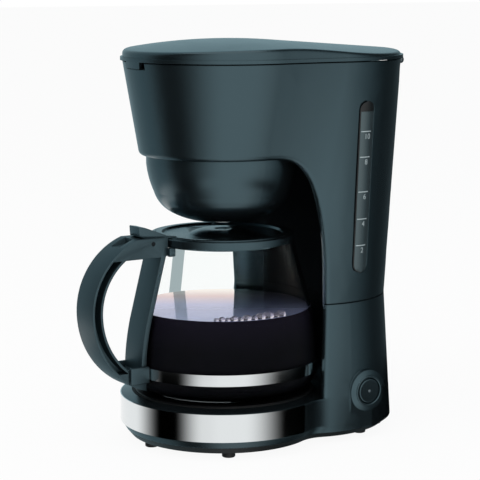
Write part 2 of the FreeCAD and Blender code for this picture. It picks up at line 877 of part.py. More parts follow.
def lid_outline(grow, height):
    fillet = size("shell_fillet_top") - grow
    return outline(size("shell_front_top") + grow, size("shell_column_top") + grow, fillet, height)


def top_lid():
    tall = 4 * margin
    outside = slab(lid_outline(0, lid_low), tall).common(lid_form(0))
    brow = [edge for edge in outside.Edges if edge.BoundBox.ZMin > lid_low + 1 and long_edge(edge)]
    outside = outside.makeFillet(size("lid_edge_round"), brow)
    inside = slab(lid_outline(-wall, lid_low - 1), tall).common(lid_form(wall))
    lip = slab(lid_outline(size("lid_lip"), lid_low), size("lid_lip_height"))
    lid = outside.fuse(lip).cut(inside)
    front = size("shell_front_top")
    tab_low = lid_low - size("lid_gap + tab_drop")
    tab = block((-size("tab_left"), -front - margin, tab_low), (size("tab_right"), 0, lid_low))
    ring_out = rod(front, (0, 0, lid_low - margin), (0, 0, lid_low))
    ring_in = rod(front - wall, (0, 0, lid_low - margin), (0, 0, lid_low))
    lid = lid.fuse(tab.common(ring_out.cut(ring_in)))
    for side in (-1, 1):
        inner, outer = sorted((side * knuckle_half, side * (knuckle_half - size("hinge_knuckle"))))
        half = size("hinge_radius")
        web = block((inner, hinge_back - half, hinge_height), (outer, hinge_back + half, lid_low))
        lid = lid.fuse(hinge_barrel(half, inner, outer)).fuse(web)
    bore = size("hinge_pin_radius + snug")
    return lid.cut(hinge_barrel(bore, -knuckle_half, knuckle_half)).removeSplitter()


def long_edge(edge):
    return edge.BoundBox.DiagonalLength > 2 * margin


def hinge_pins():
    inner = knuckle_half - size("hinge_knuckle")
    pin = hinge_barrel(size("hinge_pin_radius"), inner, ear_half)
    return Part.makeCompound([pin, mirror_x(pin)])


shaped("top_lid", top_lid())
shaped("lid_hinge_pins", hinge_pins())


# Inner deck: the floor seen when the lid is open, with the filter's well and the filling hole

def inner_deck():
    gap = wall + size("running")
    height = deck_top - deck_low
    share = (deck_low - seam) / (top - seam)
    fillet = size("shell_fillet_low") + (size("shell_fillet_top") - size("shell_fillet_low")) * share
    front = front_seam + slope * (deck_low - seam) - gap
    rear = size("column_radius_seam") + column_slope * (deck_low - seam) - gap
    deck = slab(outline(front, rear, fillet + gap, deck_low), height)
    deck = deck.cut(rod(well_radius, (0, 0, deck_low), (0, 0, deck_top)))
    half, y = size("fill_width") / 2, size("fill_back")
    depth = size("fill_depth") / 2
    hole = block((-half, y - depth, deck_low), (half, y + depth, deck_top))
    hole = hole.makeFillet(depth / 2, [edge for edge in hole.Edges if edge.BoundBox.ZLength > height / 2])
    riser = rod(size("hose_radius + snug"), riser_at(deck_low), riser_at(deck_top))
    return deck.cut(hole).cut(riser)


def riser_at(height):
    return (size("riser_x"), size("riser_y"), height)


well_radius = size("bay_opening - bowl_wall - bowl_flange + snug")
shaped("inner_deck", inner_deck())


# Brew bowl, filter basket, mesh and the drip valve under them

bowl = "bay_opening - snug"
bowl_inside = "bowl_bottom + bowl_wall"
turned("brew_bowl", [
    ("valve_stem + running", "nozzle_end"),
    ("nozzle_radius", "nozzle_end"),
    ("nozzle_radius + nozzle_flare", "bowl_bottom"),
    ("bowl_flat", "bowl_bottom"),
    ("bowl_dish", "bowl_bottom + bowl_dish_rise", "bowl_dish_arc", 1),
    (f"{bowl} - bowl_corner_in", "bowl_bottom + bowl_corner_rise", "bowl_corner_arc", 1),
    (bowl, "bowl_bottom + bowl_side_rise", "bowl_side_arc", 1),
    (bowl, "bowl_seat"),
    ("bay_opening + bowl_flange - snug", "bowl_seat"),
    ("bay_opening + bowl_flange - snug", "bowl_seat + bowl_wall"),
    (bowl, "bowl_seat + bowl_wall"),
    (bowl, "deck_low"),
    (f"{bowl} - bowl_wall", "deck_low"),
    (f"{bowl} - bowl_wall", "bowl_bottom + bowl_side_rise"),
    (f"{bowl} - bowl_wall - bowl_corner_in", f"{bowl_inside} + bowl_corner_rise", "bowl_side_arc", -1),
    ("bowl_dish - bowl_wall", f"{bowl_inside} + bowl_dish_rise", "bowl_corner_arc", -1),
    ("bowl_flat", bowl_inside, "bowl_dish_arc", -1),
    ("valve_stem + running", bowl_inside),
])

basket_top = "deck_low + deck_thickness"
basket_mouth = "(bay_opening - bowl_wall - bowl_flange - running)"
basket = turned("filter_basket", [
    ("0", "basket_floor"),
    ("basket_floor_radius", "basket_floor"),
    (basket_mouth, "deck_low"),
    (basket_mouth, basket_top),
    (f"{basket_mouth} + basket_rim", basket_top),
    (f"{basket_mouth} + basket_rim", f"{basket_top} + basket_wall"),
    (f"{basket_mouth} - basket_wall", f"{basket_top} + basket_wall"),
    (f"{basket_mouth} - basket_wall", "deck_low"),
    ("basket_floor_radius - basket_wall", "basket_floor + basket_wall"),
    ("0", "basket_floor + basket_wall"),
])
drain = "basket_floor_radius / 2"
bored(basket, "basket_drains", "valve_stem / 2",
      [(drain, "0"), (f"-{drain}", "0"), ("0", drain), ("0", f"-{drain}")])

mesh_in = "basket_wall + snug"
turned("mesh_filter", [
    ("0", "basket_floor + basket_wall + snug"),
    (f"basket_floor_radius - {mesh_in} - snug", "basket_floor + basket_wall + snug"),
    (f"{basket_mouth} - {mesh_in} - snug", "deck_low"),
    (f"{basket_mouth} - {mesh_in} - snug", f"{basket_top} + basket_wall"),
    (f"{basket_mouth} + basket_rim", f"{basket_top} + basket_wall"),
    (f"{basket_mouth} + basket_rim", f"{basket_top} + basket_wall + mesh_wall"),
    (f"{basket_mouth} - {mesh_in} - mesh_wall - snug", f"{basket_top} + basket_wall + mesh_wall"),
    (f"{basket_mouth} - {mesh_in} - mesh_wall - snug", "deck_low"),
    (f"basket_floor_radius - {mesh_in} - mesh_wall - snug", "basket_floor + basket_wall + mesh_wall + snug"),
    ("0", "basket_floor + basket_wall + mesh_wall + snug"),
])

head_low = f"{bowl_inside} + valve_seal_height"
spring_low = f"{head_low} + valve_head_height"
turned("drip_valve", [
    ("0", "valve_tip"),
    ("valve_stem - valve_round", "valve_tip"),
    ("valve_stem", "valve_tip + valve_round", "valve_round", 1),
    ("valve_stem", head_low),
    ("valve_head", head_low),
    ("valve_head", spring_low),
    ("0", spring_low),
])
turned("valve_seal", [
    ("valve_stem + snug / 2", bowl_inside),
    ("valve_head", bowl_inside),
    ("valve_head", head_low),
    ("valve_stem + snug / 2", head_low),
])
valve_room = size(f"basket_floor - ({spring_low})")
valve_coil = coil(size("valve_stem"), size("spring_wire"), valve_room, sizes["valve_turns"])
shaped("valve_spring", valve_coil, z=spring_low)


def spray_head():
    # Shallow rose over the filter, with a stub towards the riser
    low_face, height, radius = size("spray_low"), size("spray_height"), size("spray_radius")
    rose = Part.makeCylinder(radius, height, vector(0, 0, low_face))
    rose = rose.makeFillet(height / 4, rose.Edges[:1])
    rose = rose.cut(Part.makeCylinder(radius - 2 * wall, height / 3, vector(0, 0, low_face)))
    x, y, _ = riser_at(0)
    level = low_face + height / 2 + size("snug")
    reach = (radius + size("spray_stub")) / math.hypot(x, y)
    return rose.fuse(rod(size("hose_bore"), (0, 0, level), (x * reach, y * reach, level))).removeSplitter()


shaped("spray_head", spray_head())


# Water tank: the back of the column, hollowed in front for the bay and for the riser hose

tank_low = ledge_top
tank_top = deck_low


def riser_channel(radius):
    # Round groove round the riser, open towards the bay
    x, y = size("riser_x"), size("riser_y")
    groove = rod(radius, (x, y, tank_low - margin), (x, y, tank_top + margin))
    way = block((x - radius, 0, tank_low - margin), (x + radius, y, tank_top + margin))
    return groove.fuse(way)


def tank_form(grow, bottom, ceiling):
    gap = size("wall + tank_gap") - grow
    low_radius = size("column_radius_seam") + column_slope * (bottom - seam) - gap
    high_radius = low_radius + column_slope * (ceiling - bottom)
    form = Part.makeCone(low_radius, high_radius, ceiling - bottom, vector(0, column_y, bottom))
    front = rod(size("tank_front") - grow, (0, 0, bottom - 1), (0, 0, ceiling + 1))
    return form.cut(front).cut(riser_channel(size("hose_radius + snug") - grow))


def water_tank():
    inner = size("tank_wall")
    tank = tank_form(0, tank_low, tank_top).cut(tank_form(-inner, tank_low + inner, tank_top + margin))
    x, y = -size("riser_x"), size("inlet_y")
    nipple_low = tank_low - size("nipple_length")
    tank = tank.fuse(rod(size("hose_radius"), (x, y, nipple_low), (x, y, tank_low)))
    return tank.cut(rod(size("hose_bore"), (x, y, nipple_low), (x, y, tank_low + inner))).removeSplitter()


def hose(points):
    radius = size("hose_radius")
    return pipe(points, size("hose_bend"), radius).cut(pipe(points, size("hose_bend"), size("hose_bore")))


def inlet_hose():
    # Down from the check valve, then forward to the heater's water tube
    x = -size("water_tube_run")
    y = size("inlet_y")
    return hose([(x, y, check_low), (x, y, tube_height), (x, size("tube_leg"), tube_height)])


def riser_hose():
    # Back from the water tube, up through the tank's groove and over to the spray head
    x, y = size("riser_x"), size("riser_y")
    reach = math.hypot(x, y)
    stub = size("spray_radius") + size("spray_stub")
    end = (x * stub / reach, y * stub / reach, spray_level)
    start = (size("water_tube_run"), size("tube_leg"), tube_height)
    return hose([start, (x, y, tube_height), (x, y, spray_level), end])


def heater_tube(run, radius, leg):
    # Tube bent once round the plate's middle, with two straight legs towards the column
    height = heater_low - radius - size("snug") / 2
    bend = Part.Arc(vector(-run, 0, height), vector(0, -run, height), vector(run, 0, height)).toShape()
    left = Part.makeLine(vector(-run, leg, height), vector(-run, 0, height))
    right = Part.makeLine(vector(run, 0, height), vector(run, leg, height))
    return tube([left, bend, right], radius)


heater_low = plate_low - size("heater_height")
tube_height = heater_low - size("water_tube_radius + snug / 2")
check_low = tank_low - size("nipple_length + check_valve_length")
spray_level = size("spray_low + spray_height / 2 + snug")
shaped("water_tank", water_tank())
turned("check_valve", [
    ("hose_bore", "0"),
    ("check_valve_radius - check_valve_shoulder", "0"),
    ("check_valve_radius", "check_valve_shoulder"),
    ("check_valve_radius", "check_valve_length - check_valve_shoulder"),
    ("check_valve_radius - check_valve_shoulder", "check_valve_length"),
    ("hose_bore", "check_valve_length"),
], x="-riser_x", y="inlet_y", z="housing_seam + ledge_height - nipple_length - check_valve_length")
shaped("inlet_hose", inlet_hose())
shaped("riser_hose", riser_hose())


# Hot plate, its gasket and the heater pressed against it

turned("hot_plate", [
    ("0", "plate_top - plate_thickness"),
    ("plate_radius", "plate_top - plate_thickness"),
    ("plate_radius", "plate_top - plate_thickness / 2"),
    ("plate_radius - plate_thickness / 2", "plate_top", "plate_thickness / 2", 1),
    ("0", "plate_top"),
])
plate_under = "plate_top - plate_thickness"
turned("plate_gasket", [
    ("rim_radius - gasket_width", f"{plate_under} - gasket_height"),
    ("rim_radius - snug", f"{plate_under} - gasket_height"),
    ("rim_radius - snug", "plate_top - gasket_lip"),
    ("plate_radius + snug", "plate_top - gasket_lip"),
    ("plate_radius + snug", plate_under),
    ("rim_radius - gasket_width", plate_under),
])
heater_in = "heater_radius - heater_width / 2"
padded("heater_body", [
    ("-heater_edge", "heater_leg"),
    ("-heater_edge", "0"),
    ("0", "-heater_edge", "heater_edge", 1),
    ("heater_edge", "0", "heater_edge", 1),
    ("heater_edge", "heater_leg"),
    (heater_in, "heater_leg"),
    (heater_in, "0"),
    ("0", f"-({heater_in})", heater_in, -1),
    (f"-({heater_in})", "0", heater_in, -1),
    (f"-({heater_in})", "heater_leg"),
], "heater_height", z=f"{plate_under} - heater_height")
shaped("heater_rod", heater_tube(size("heater_rod_run"), size("heater_rod_radius"), size("tube_leg")))
outer_tube = heater_tube(size("water_tube_run"), size("water_tube_radius"), size("tube_leg"))
shaped("water_tube", outer_tube)
turned("thermostat", [
    ("0", "0"),
    ("thermostat_radius - thermostat_step", "0"),
    ("thermostat_radius - thermostat_step", "thermostat_step"),
    ("thermostat_radius", "thermostat_step"),
    ("thermostat_radius", "thermostat_height"),
    ("0", "thermostat_height"),
], z=f"{plate_under} - thermostat_height")
along_x = ((0, 1, 0), 90)
fuse = primitive("Cylinder", "thermal_fuse_can", turn=along_x, Radius="fuse_radius", Height="fuse_length")
keep(fuse, "thermal_fuse", x="-fuse_length / 2", y="thermostat_radius + 2 * fuse_radius",
     z=f"{plate_under} - fuse_radius - snug")


# Power switch: bezel in the pad, button with its lens and spring, and the switch behind

button_back = "pad_face + button_proud - button_thickness"
turned("switch_bezel", [
    ("pad_face - bezel_depth", "button_radius + running"),
    ("pad_face - bezel_depth", "bezel_tube"),
    ("pad_face", "bezel_tube"),
    ("pad_face", "pad_half"),
    ("pad_face + bezel_round", "pad_half"),
    ("pad_face + bezel_height - bezel_round", "bezel_tube"),
    ("pad_face + bezel_height", "bezel_tube - bezel_round", "bezel_round", -1),
    ("pad_face + bezel_height", "button_radius + running + bezel_round"),
    ("pad_face + bezel_height - bezel_round", "button_radius + running", "bezel_round", -1),
], plane="XY_Plane", axis="H_Axis", y="switch_y", z="switch_z")
switch_front = "pad_face - bezel_depth"
turned("power_button", [
    (f"{switch_front} - button_stem_reach", "0"),
    (f"{switch_front} - button_stem_reach", "button_stem"),
    (button_back, "button_stem"),
    (button_back, "button_radius"),
    ("pad_face + button_proud - button_round", "button_radius"),
    ("pad_face + button_proud", "button_radius - button_round", "button_round", -1),
    ("pad_face + button_proud", "lens_radius + snug"),
    ("pad_face + button_proud - lens_depth", "lens_radius + snug"),
    ("pad_face + button_proud - lens_depth", "0"),
], plane="XY_Plane", axis="H_Axis", y="switch_y", z="switch_z")
turned("pilot_lens", [
    ("pad_face + button_proud - lens_depth", "0"),
    ("pad_face + button_proud - lens_depth", "lens_radius"),
    ("pad_face + button_proud", "lens_radius"),
    ("pad_face + button_proud + lens_dome", "0", "lens_arc", -1),
], plane="XY_Plane", axis="H_Axis", y="switch_y", z="switch_z")
case = primitive("Box", "switch_case", y="-switch_side / 2", z="-switch_side / 2",
                 Length="switch_length", Width="switch_side", Height="switch_side")
bore = primitive("Cylinder", "switch_bore", turn=along_x, x="switch_length / 3",
                 Radius="button_stem + running", Height="switch_length")
switch_back = f"{switch_front} - switch_length"
keep(cut("switch_body_cut", case, bore), "switch_body", x=switch_back, y="switch_y", z="switch_z")
spring_length = size(f"{button_back} - ({switch_front})")
button_ring = size("button_radius + button_stem") / 2
button_coil = coil(button_ring, size("button_wire"), spring_length, sizes["button_turns"])
button_coil.rotate(vector(), vector(0, 1, 0), 90)
shaped("button_spring", button_coil, x=switch_front, y="switch_y", z="switch_z")


# Cord gland at the back of the foot, and the leads inside

gland_back = "column_offset + column_radius_low"
turned("cord_gland", [
    ("gland_bore", "0"),
    ("gland_radius", "0"),
    ("gland_radius", "3 * wall"),
    ("gland_radius + gland_flange", "3 * wall"),
    ("gland_radius + gland_flange", "3 * wall + gland_flange"),
    ("gland_radius", "3 * wall + gland_flange + gland_cone"),
    ("gland_bore", "3 * wall + gland_flange + gland_cone"),
], plane="XY_Plane", axis="V_Axis", y=f"{gland_back} - 3 * wall", z="gland_z")


def lead_wires():
    # Supply lead from the gland to the switch, and one from the switch to each end of the heater rod
    y, z = size("switch_y"), size("switch_z")
    radius = size("wire_radius")
    bend, step = 2 * radius, 4 * radius
    back = size("pad_face - bezel_depth - switch_length")
    side = y - size("switch_side") / 2
    inside = size(f"{gland_back} - 3 * wall")
    level = size("gland_z")
    rod_level = heater_low - size("heater_rod_radius + snug / 2")
    run, leg = size("heater_rod_run"), size("tube_leg")
    behind = size("inlet_y") + 2 * size("hose_radius")
    turn_x, turn_y = back - step, y + step
    supply = [(0, inside, level), (0, behind + 2 * step, level), (turn_x, behind, level + step),
              (turn_x, turn_y, z), (back, turn_y, z)]
    near = [(back + step, side, z - step), (back + step, side - step, z - step),
            (back + step, side - step, rod_level), (run, leg + step, rod_level), (run, leg, rod_level)]
    far = [(back, turn_y, z + step), (turn_x, turn_y, z + step), (turn_x, behind, z + step),
           (-run, behind, z + step), (-run, behind, rod_level), (-run, leg, rod_level)]
    return Part.makeCompound([pipe(route, bend, radius) for route in (supply, near, far)])


shaped("lead_wires", lead_wires())


# Carafe: glass, collar, cap with its thumb lever, handle and the steel strap

glass_low = "plate_top + seat_gap"
corner_round = f"belly_height - ({glass_low})"
shoulder = "belly_radius - (belly_arc - sqrt(belly_arc ^ 2 - (shoulder_height - belly_height) ^ 2))"
turned("carafe_glass", [
    ("0", glass_low),
    (f"belly_radius - ({corner_round})", glass_low),
    ("belly_radius", "belly_height", corner_round, 1),
    (shoulder, "shoulder_height", "belly_arc", 1),
    ("neck_radius", "neck_height"),
    ("mouth_radius", "neck_height + mouth_step"),
    ("mouth_radius", "neck_height + mouth_height"),
    ("mouth_radius - glass_wall", "neck_height + mouth_height"),
    ("mouth_radius - glass_wall", "neck_height"),
    ("neck_radius - neck_inner", "neck_height - neck_inner_drop"),
    (f"{shoulder} - glass_wall", "shoulder_height - shoulder_inner_drop"),
    ("belly_radius - glass_wall", "belly_height", "belly_arc - glass_wall", -1),
    (f"belly_radius - ({corner_round})", f"{glass_low} + glass_wall", f"{corner_round} - glass_wall", -1),
    ("0", f"{glass_low} + glass_wall"),
])
turned("carafe_collar", [
    ("mouth_radius + snug", "neck_height + mouth_step"),
    ("collar_radius", "neck_height + collar_low"),
    ("collar_radius", "collar_top - collar_round"),
    ("collar_radius - collar_round", "collar_top", "collar_round", 1),
    ("mouth_radius + snug", "collar_top"),
])

cap_low = "neck_height + mouth_height + running"
cap_top = f"{cap_low} + cap_height"
cap_edge = "mouth_radius + snug - running"
skirt = "mouth_radius - glass_wall - running"
cap = turned("carafe_lid", [
    ("cap_hole", "cap_dome - cap_hole_drop"),
    ("cap_hole + cap_slope", f"{cap_top} - cap_floor"),
    (f"{skirt} - cap_skirt_wall", f"{cap_top} - cap_floor"),
    (f"{skirt} - cap_skirt_wall", f"{cap_low} - cap_skirt"),
    (skirt, f"{cap_low} - cap_skirt"),
    (skirt, cap_low),
    (cap_edge, cap_low),
    (cap_edge, f"{cap_top} - cap_round"),
    (f"{cap_edge} - cap_round", cap_top, "cap_round", 1),
    (f"{cap_edge} - cap_rim", cap_top),
    (f"{cap_edge} - cap_rim_foot", f"{cap_top} - cap_well"),
    ("cap_hole + cap_dome_foot", f"{cap_top} - cap_well"),
    ("cap_hole + cap_dome_flat", "cap_dome", "cap_dome_arc", 1),
    ("cap_hole", "cap_dome"),
])
pivot = "cap_pin_radius + lever_wall"
lever_sketch = new_sketch(cap, "YZ_Plane", "lever_outline")
draw(lever_sketch, [
    (f"-({cap_edge} - cap_rim_foot)", f"{cap_top} - cap_round"),
    ("-(collar_radius + lever_throat)", "collar_top + running + snug / 2"),
    (f"-(hinge_y - {pivot})", "hinge_z - lever_bend"),
    ("-hinge_y", f"hinge_z - ({pivot})"),
    (f"-(hinge_y + {pivot})", "hinge_z - lever_bend"),
    (f"-(hinge_y + 2 * ({pivot}))", "handle_top + running"),
    ("-(lever_reach - lever_round)", "handle_top + 3 * running"),
    ("-lever_reach", "lever_top - lever_round"),
    ("-(lever_reach - lever_round)", "lever_top", "lever_round", -1),
    (f"-(hinge_y + {pivot})", "lever_top - lever_fall"),
    ("-(collar_radius - lever_bend)", f"{cap_top} + lever_root"),
    (f"-({cap_edge} - cap_rim_foot)", f"{cap_top} + lever_toe"),
])
lever = cap.newObject("PartDesign::Pad", "lever_pad")
lever.Profile = lever_sketch
lever.Midplane = True
lever.setExpression("Length", formula("2 * lever_half"))
pivot_spot = ("-hinge_y", "hinge_z")
bored(cap, "lever_bore", "cap_pin_radius + snug", [pivot_spot], plane="YZ_Plane")
pin = primitive("Cylinder", "carafe_lid_rod", turn=along_x, Radius="cap_pin_radius", Height="2 * handle_half")
keep(pin, "carafe_lid_pin", x="-handle_half", y="-hinge_y", z="hinge_z")

bulge = "(handle_reach - handle_root)"
round_top = f"({bulge} ^ 2 + (handle_top - handle_mid) ^ 2) / (2 * {bulge})"
round_low = f"({bulge} ^ 2 + (handle_mid - handle_low) ^ 2) / (2 * {bulge})"
glass_slope = f"({shoulder} - neck_radius) / (neck_height - shoulder_height)"
block_reach = f"neck_radius + (neck_height - handle_block) * {glass_slope} + handle_stand_off"
block_face = "collar_radius + handle_play"
strap_out = "handle_stand_off + handle_strap"


def on_round(radius, depth, height):
    # Y of the grip's curve, depth inside its outer face, at a height
    return f"-(handle_reach - {radius} + sqrt(({radius} - ({depth})) ^ 2 - ({height} - handle_mid) ^ 2))"


handle = padded("carafe_handle", [
    (f"-({block_face})", "handle_top"),
    ("-handle_root", "handle_top"),
    ("-handle_reach", "handle_mid", round_top, 1),
    ("-handle_root", "handle_low", round_low, 1),
    ("-(belly_radius + handle_stand_off)", "handle_low - handle_heel"),
    ("-(belly_radius + handle_stand_off)", "belly_height"),
    (f"-({shoulder} + handle_stand_off)", "shoulder_height", "belly_arc + handle_stand_off", -1),
    (f"-({block_reach})", "handle_block"),
    (f"-({block_face})", "handle_block + handle_chamfer"),
], "2 * handle_half", plane="YZ_Plane", both_ways=True)
gap_low = "strap_high - finger_overlap"
inner = "grip_thickness"
pocketed(handle, "finger_gap", [
    (f"-({block_reach} + handle_strap)", "handle_block"),
    (f"-({shoulder} + {strap_out})", "shoulder_height"),
    (f"-(belly_radius + {strap_out})", gap_low, f"belly_arc + {strap_out}", 1),
    (on_round(round_low, inner, gap_low), gap_low),
    (f"-(handle_reach - {inner})", "handle_mid", f"{round_low} - {inner}", -1),
    (on_round(round_top, inner, "handle_block"), "handle_block", f"{round_top} - {inner}", -1),
], "YZ_Plane", width="3 * handle_half")
near, far = "grip_flange", "grip_thickness - grip_flange"
groove = [
    (on_round(round_top, near, "handle_block"), "handle_block"),
    (f"-(handle_reach - {near})", "handle_mid", f"{round_top} - {near}", 1),
    (on_round(round_low, near, gap_low), gap_low, f"{round_low} - {near}", 1),
    (on_round(round_low, far, gap_low), gap_low),
    (f"-(handle_reach - ({far}))", "handle_mid", f"{round_low} - ({far})", -1),
    (on_round(round_top, far, "handle_block"), "handle_block", f"{round_top} - ({far})", -1),
]
pocketed(handle, "right_groove", groove, "YZ_Plane", offset="grip_web", outward=True)
pocketed(handle, "left_groove", groove, "YZ_Plane", offset="-grip_web")
pocketed(handle, "lever_slot", [
    (f"-({block_face} - wall)", "handle_top + wall"),
    (f"-({block_face} - wall)", f"hinge_z - ({pivot}) - running"),
    (f"-(hinge_y + 2 * ({pivot}) + running)", f"hinge_z - ({pivot}) - running"),
    (f"-(hinge_y + 2 * ({pivot}) + running)", "handle_top + wall"),
], "YZ_Plane", width="2 * (lever_half + running)")
pocketed(handle, "thumb_recess", [
    ("-handle_root", "handle_top + wall"),
    ("-handle_root", "handle_top - thumb_shallow"),
    ("-(handle_root + thumb_length)", "handle_top - thumb_deep"),
    ("-(handle_root + thumb_length)", "handle_top + wall"),
], "YZ_Plane", width="2 * (lever_half - thumb_inset)")
bored(handle, "pin_bore", "cap_pin_radius", [pivot_spot], plane="YZ_Plane")
screw_spot = ("-(belly_radius + strap_ear - strap_screw_inset)", "(strap_low + strap_high) / 2")
bored(handle, "strap_bore", "strap_screw_radius", [screw_spot], plane="YZ_Plane")


def strap_screw_at(x):
    return (x, size(screw_spot[0]), size(screw_spot[1]))


def carafe_strap():
    # Steel strap round the belly whose two ears clasp the handle's foot
    bottom, ceiling = size("strap_low"), size("strap_high")
    belly = size("belly_radius + snug")
    thick = size("strap_thickness")
    ends = [(0, 0, bottom), (0, 0, ceiling)]
    band = rod(belly + thick, *ends).cut(rod(belly, *ends))
    clasp = size("handle_half + snug")
    band = band.cut(block((-clasp, -2 * belly, bottom), (clasp, 0, ceiling)))
    start = math.sqrt(belly ** 2 - (clasp + thick) ** 2)
    end = belly + size("strap_ear")
    for side in (-1, 1):
        low_x, high_x = sorted((side * clasp, side * (clasp + thick)))
        band = band.fuse(block((low_x, -end, bottom), (high_x, -start, ceiling)))
    edge = clasp + thick
    hole = rod(size("strap_screw_radius + snug"), strap_screw_at(-edge), strap_screw_at(edge))
    return band.cut(hole).removeSplitter()


def strap_screw():
    edge = size("handle_half + snug + strap_thickness")
    radius, cap_height = size("strap_screw_radius"), size("strap_thickness") * 2
    screw = rod(radius, strap_screw_at(-edge), strap_screw_at(edge))
    for side in (-1, 1):
        inner, outer = strap_screw_at(side * edge), strap_screw_at(side * (edge + cap_height))
        screw = screw.fuse(rod(2 * radius, inner, outer))
    return screw.removeSplitter()


shaped("carafe_strap", carafe_strap())
shaped("strap_screw", strap_screw())


# Every object has to be sound before anything is written

doc.recompute()
for item in doc.Objects:
    if any(word in item.State for word in ("Invalid", "Error")):
        raise RuntimeError(f"{item.Label} did not compute: {item.State}")
os.makedirs("parts", exist_ok=True)
for piece in pieces:
    if piece.Shape.isNull() or not piece.Shape.isValid():
        raise RuntimeError(f"{piece.Label} has no sound shape")
    piece.Shape.exportStep(f"parts/{piece.Label}.step")
print(len(pieces), "pieces written")
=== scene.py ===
import bpy
import json
import math
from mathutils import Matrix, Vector


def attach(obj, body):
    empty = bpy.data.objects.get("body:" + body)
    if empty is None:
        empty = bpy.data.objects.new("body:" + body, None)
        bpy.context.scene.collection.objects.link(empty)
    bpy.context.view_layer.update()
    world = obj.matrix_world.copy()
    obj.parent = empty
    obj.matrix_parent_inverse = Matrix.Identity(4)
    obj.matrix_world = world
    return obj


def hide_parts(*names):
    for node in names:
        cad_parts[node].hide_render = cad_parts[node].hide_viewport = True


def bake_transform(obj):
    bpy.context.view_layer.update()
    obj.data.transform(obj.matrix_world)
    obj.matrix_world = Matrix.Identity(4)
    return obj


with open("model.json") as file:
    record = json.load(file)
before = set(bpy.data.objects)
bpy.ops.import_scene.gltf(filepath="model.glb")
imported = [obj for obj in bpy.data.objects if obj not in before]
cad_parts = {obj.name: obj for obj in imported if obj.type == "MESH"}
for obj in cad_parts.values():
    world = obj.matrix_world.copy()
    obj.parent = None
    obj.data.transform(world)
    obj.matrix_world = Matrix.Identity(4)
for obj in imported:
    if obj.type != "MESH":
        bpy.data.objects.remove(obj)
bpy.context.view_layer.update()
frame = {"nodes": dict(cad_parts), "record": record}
nodes = frame["nodes"]
scene = bpy.context.scene
scene.view_settings.view_transform = "Standard"
mm = 0.001
carafeY = -15.85  # carafe's axis along Y, in mm
print("frame loaded:", len(nodes), "CAD nodes")


def hexColour(code):
    # sRGB hex to the linear colour that shaders take
    parts = [int(code[i:i + 2], 16) / 255 for i in (1, 3, 5)]
    return [c / 12.92 if c <= 0.04045 else ((c + 0.055) / 1.055) ** 2.4 for c in parts] + [1]


def addNode(tree, kind, settings={}, links={}):
    # a new node, with settings by attribute or input name and links by input name
    node = tree.nodes.new("ShaderNode" + kind)
    for name, value in settings.items():
        if isinstance(name, str) and hasattr(node, name):
            setattr(node, name, value)
        else:
            node.inputs[name].default_value = value
    for name, socket in links.items():
        tree.links.new(socket, node.inputs[name])
    return node


def fromTo(span):
    # a span in mm as the two ends that a range starts from
    return {1: span[0] * mm, 2: span[1] * mm}


def between(low, high):
    # two hex colours as the ends of a colour mix
    return {"data_type": "RGBA", 6: hexColour(low), 7: hexColour(high)}


def newMaterial(name, settings):
    material = bpy.data.materials.new(name)
    material.use_nodes = True
    tree = material.node_tree
    shader = tree.nodes["Principled BSDF"]
    for key, value in settings.items():
        shader.inputs[key].default_value = value
    return material, tree, shader


def mottle(tree, shader, low, high, patch, roughness, grain, depth, edge=0.4):
    # colour drifts over a patch and roughness over a third of it, then a fine grain and worn edges; in mm
    place = addNode(tree, "TexCoord").outputs["Object"]
    drift = addNode(tree, "TexNoise", {"Scale": 1 / (patch * mm), "Detail": 3}, {"Vector": place})
    blend = addNode(tree, "Mix", between(low, high), {0: drift.outputs[0]})
    tree.links.new(blend.outputs[2], shader.inputs["Base Color"])
    smear = addNode(tree, "TexNoise", {"Scale": 3 / (patch * mm), "Detail": 4}, {"Vector": place})
    spread = addNode(tree, "MapRange", {3: roughness[0], 4: roughness[1]}, {0: smear.outputs[0]})
    tree.links.new(spread.outputs[0], shader.inputs["Roughness"])
    fine = addNode(tree, "TexNoise", {"Scale": 1 / (grain * mm), "Detail": 2}, {"Vector": place})
    edges = addNode(tree, "Bevel", {"samples": 4, "Radius": edge * mm})
    bump = addNode(tree, "Bump", {"Strength": 0.25, "Distance": depth * mm},
                   {"Height": fine.outputs[0], "Normal": edges.outputs[0]})
    tree.links.new(bump.outputs[0], shader.inputs["Normal"])


# ABS, injection moulded with a silky face: blue-black with broad slate highlights
slateLook = {"low": "#0e1113", "high": "#121618", "patch": 60, "roughness": (0.2, 0.27),
             "grain": 0.7, "depth": 0.004}
slateGloss = {"IOR": 1.6, "Specular IOR Level": 1, "Specular Tint": hexColour("#c2f0ff")}
slateAbs, tree, shader = newMaterial("slate moulded ABS", slateGloss)
mottle(tree, shader, **slateLook)

# The handle's ABS: the same, from a mould blasted to a softer satin that hides fingermarks
gripAbs, tree, shader = newMaterial("slate satin ABS", slateGloss)
mottle(tree, shader, **(slateLook | {"roughness": (0.4, 0.48)}))

# The housings' ABS: the same, with painted shade that takes its gloss away high up in the carafe's bay, which
# arches in by an ellipse, and on the bay's back wall, and painted shade along the parting line and on the rim
# under the top lid
bayShadeLook = {"arch": (130, 219), "crown": 58, "reach": 20.5, "skin": (0.3, 2), "height": (134, 158),
           "top": (218.6, 219.4), "middle": (54, 38), "deck": (44, 50), "seam": 107, "line": (0.35, 0.6),
           "rim": (289.2, 289.5), "gloss": (1, 0)}
housingAbsWithShade, tree, shader = newMaterial("slate moulded ABS with painted shade in the bay", slateGloss)
mottle(tree, shader, **slateLook, edge=1.6)
fade = {3: 1, 4: 0}
place = addNode(tree, "TexCoord").outputs["Object"]
centred = addNode(tree, "Mapping", {"Location": (0, -carafeY * mm, 0)}, {"Vector": place})
axes = addNode(tree, "SeparateXYZ", {}, {0: centred.outputs[0]})
height = axes.outputs[2]
across = addNode(tree, "CombineXYZ", {}, {0: axes.outputs[0], 1: axes.outputs[1]})
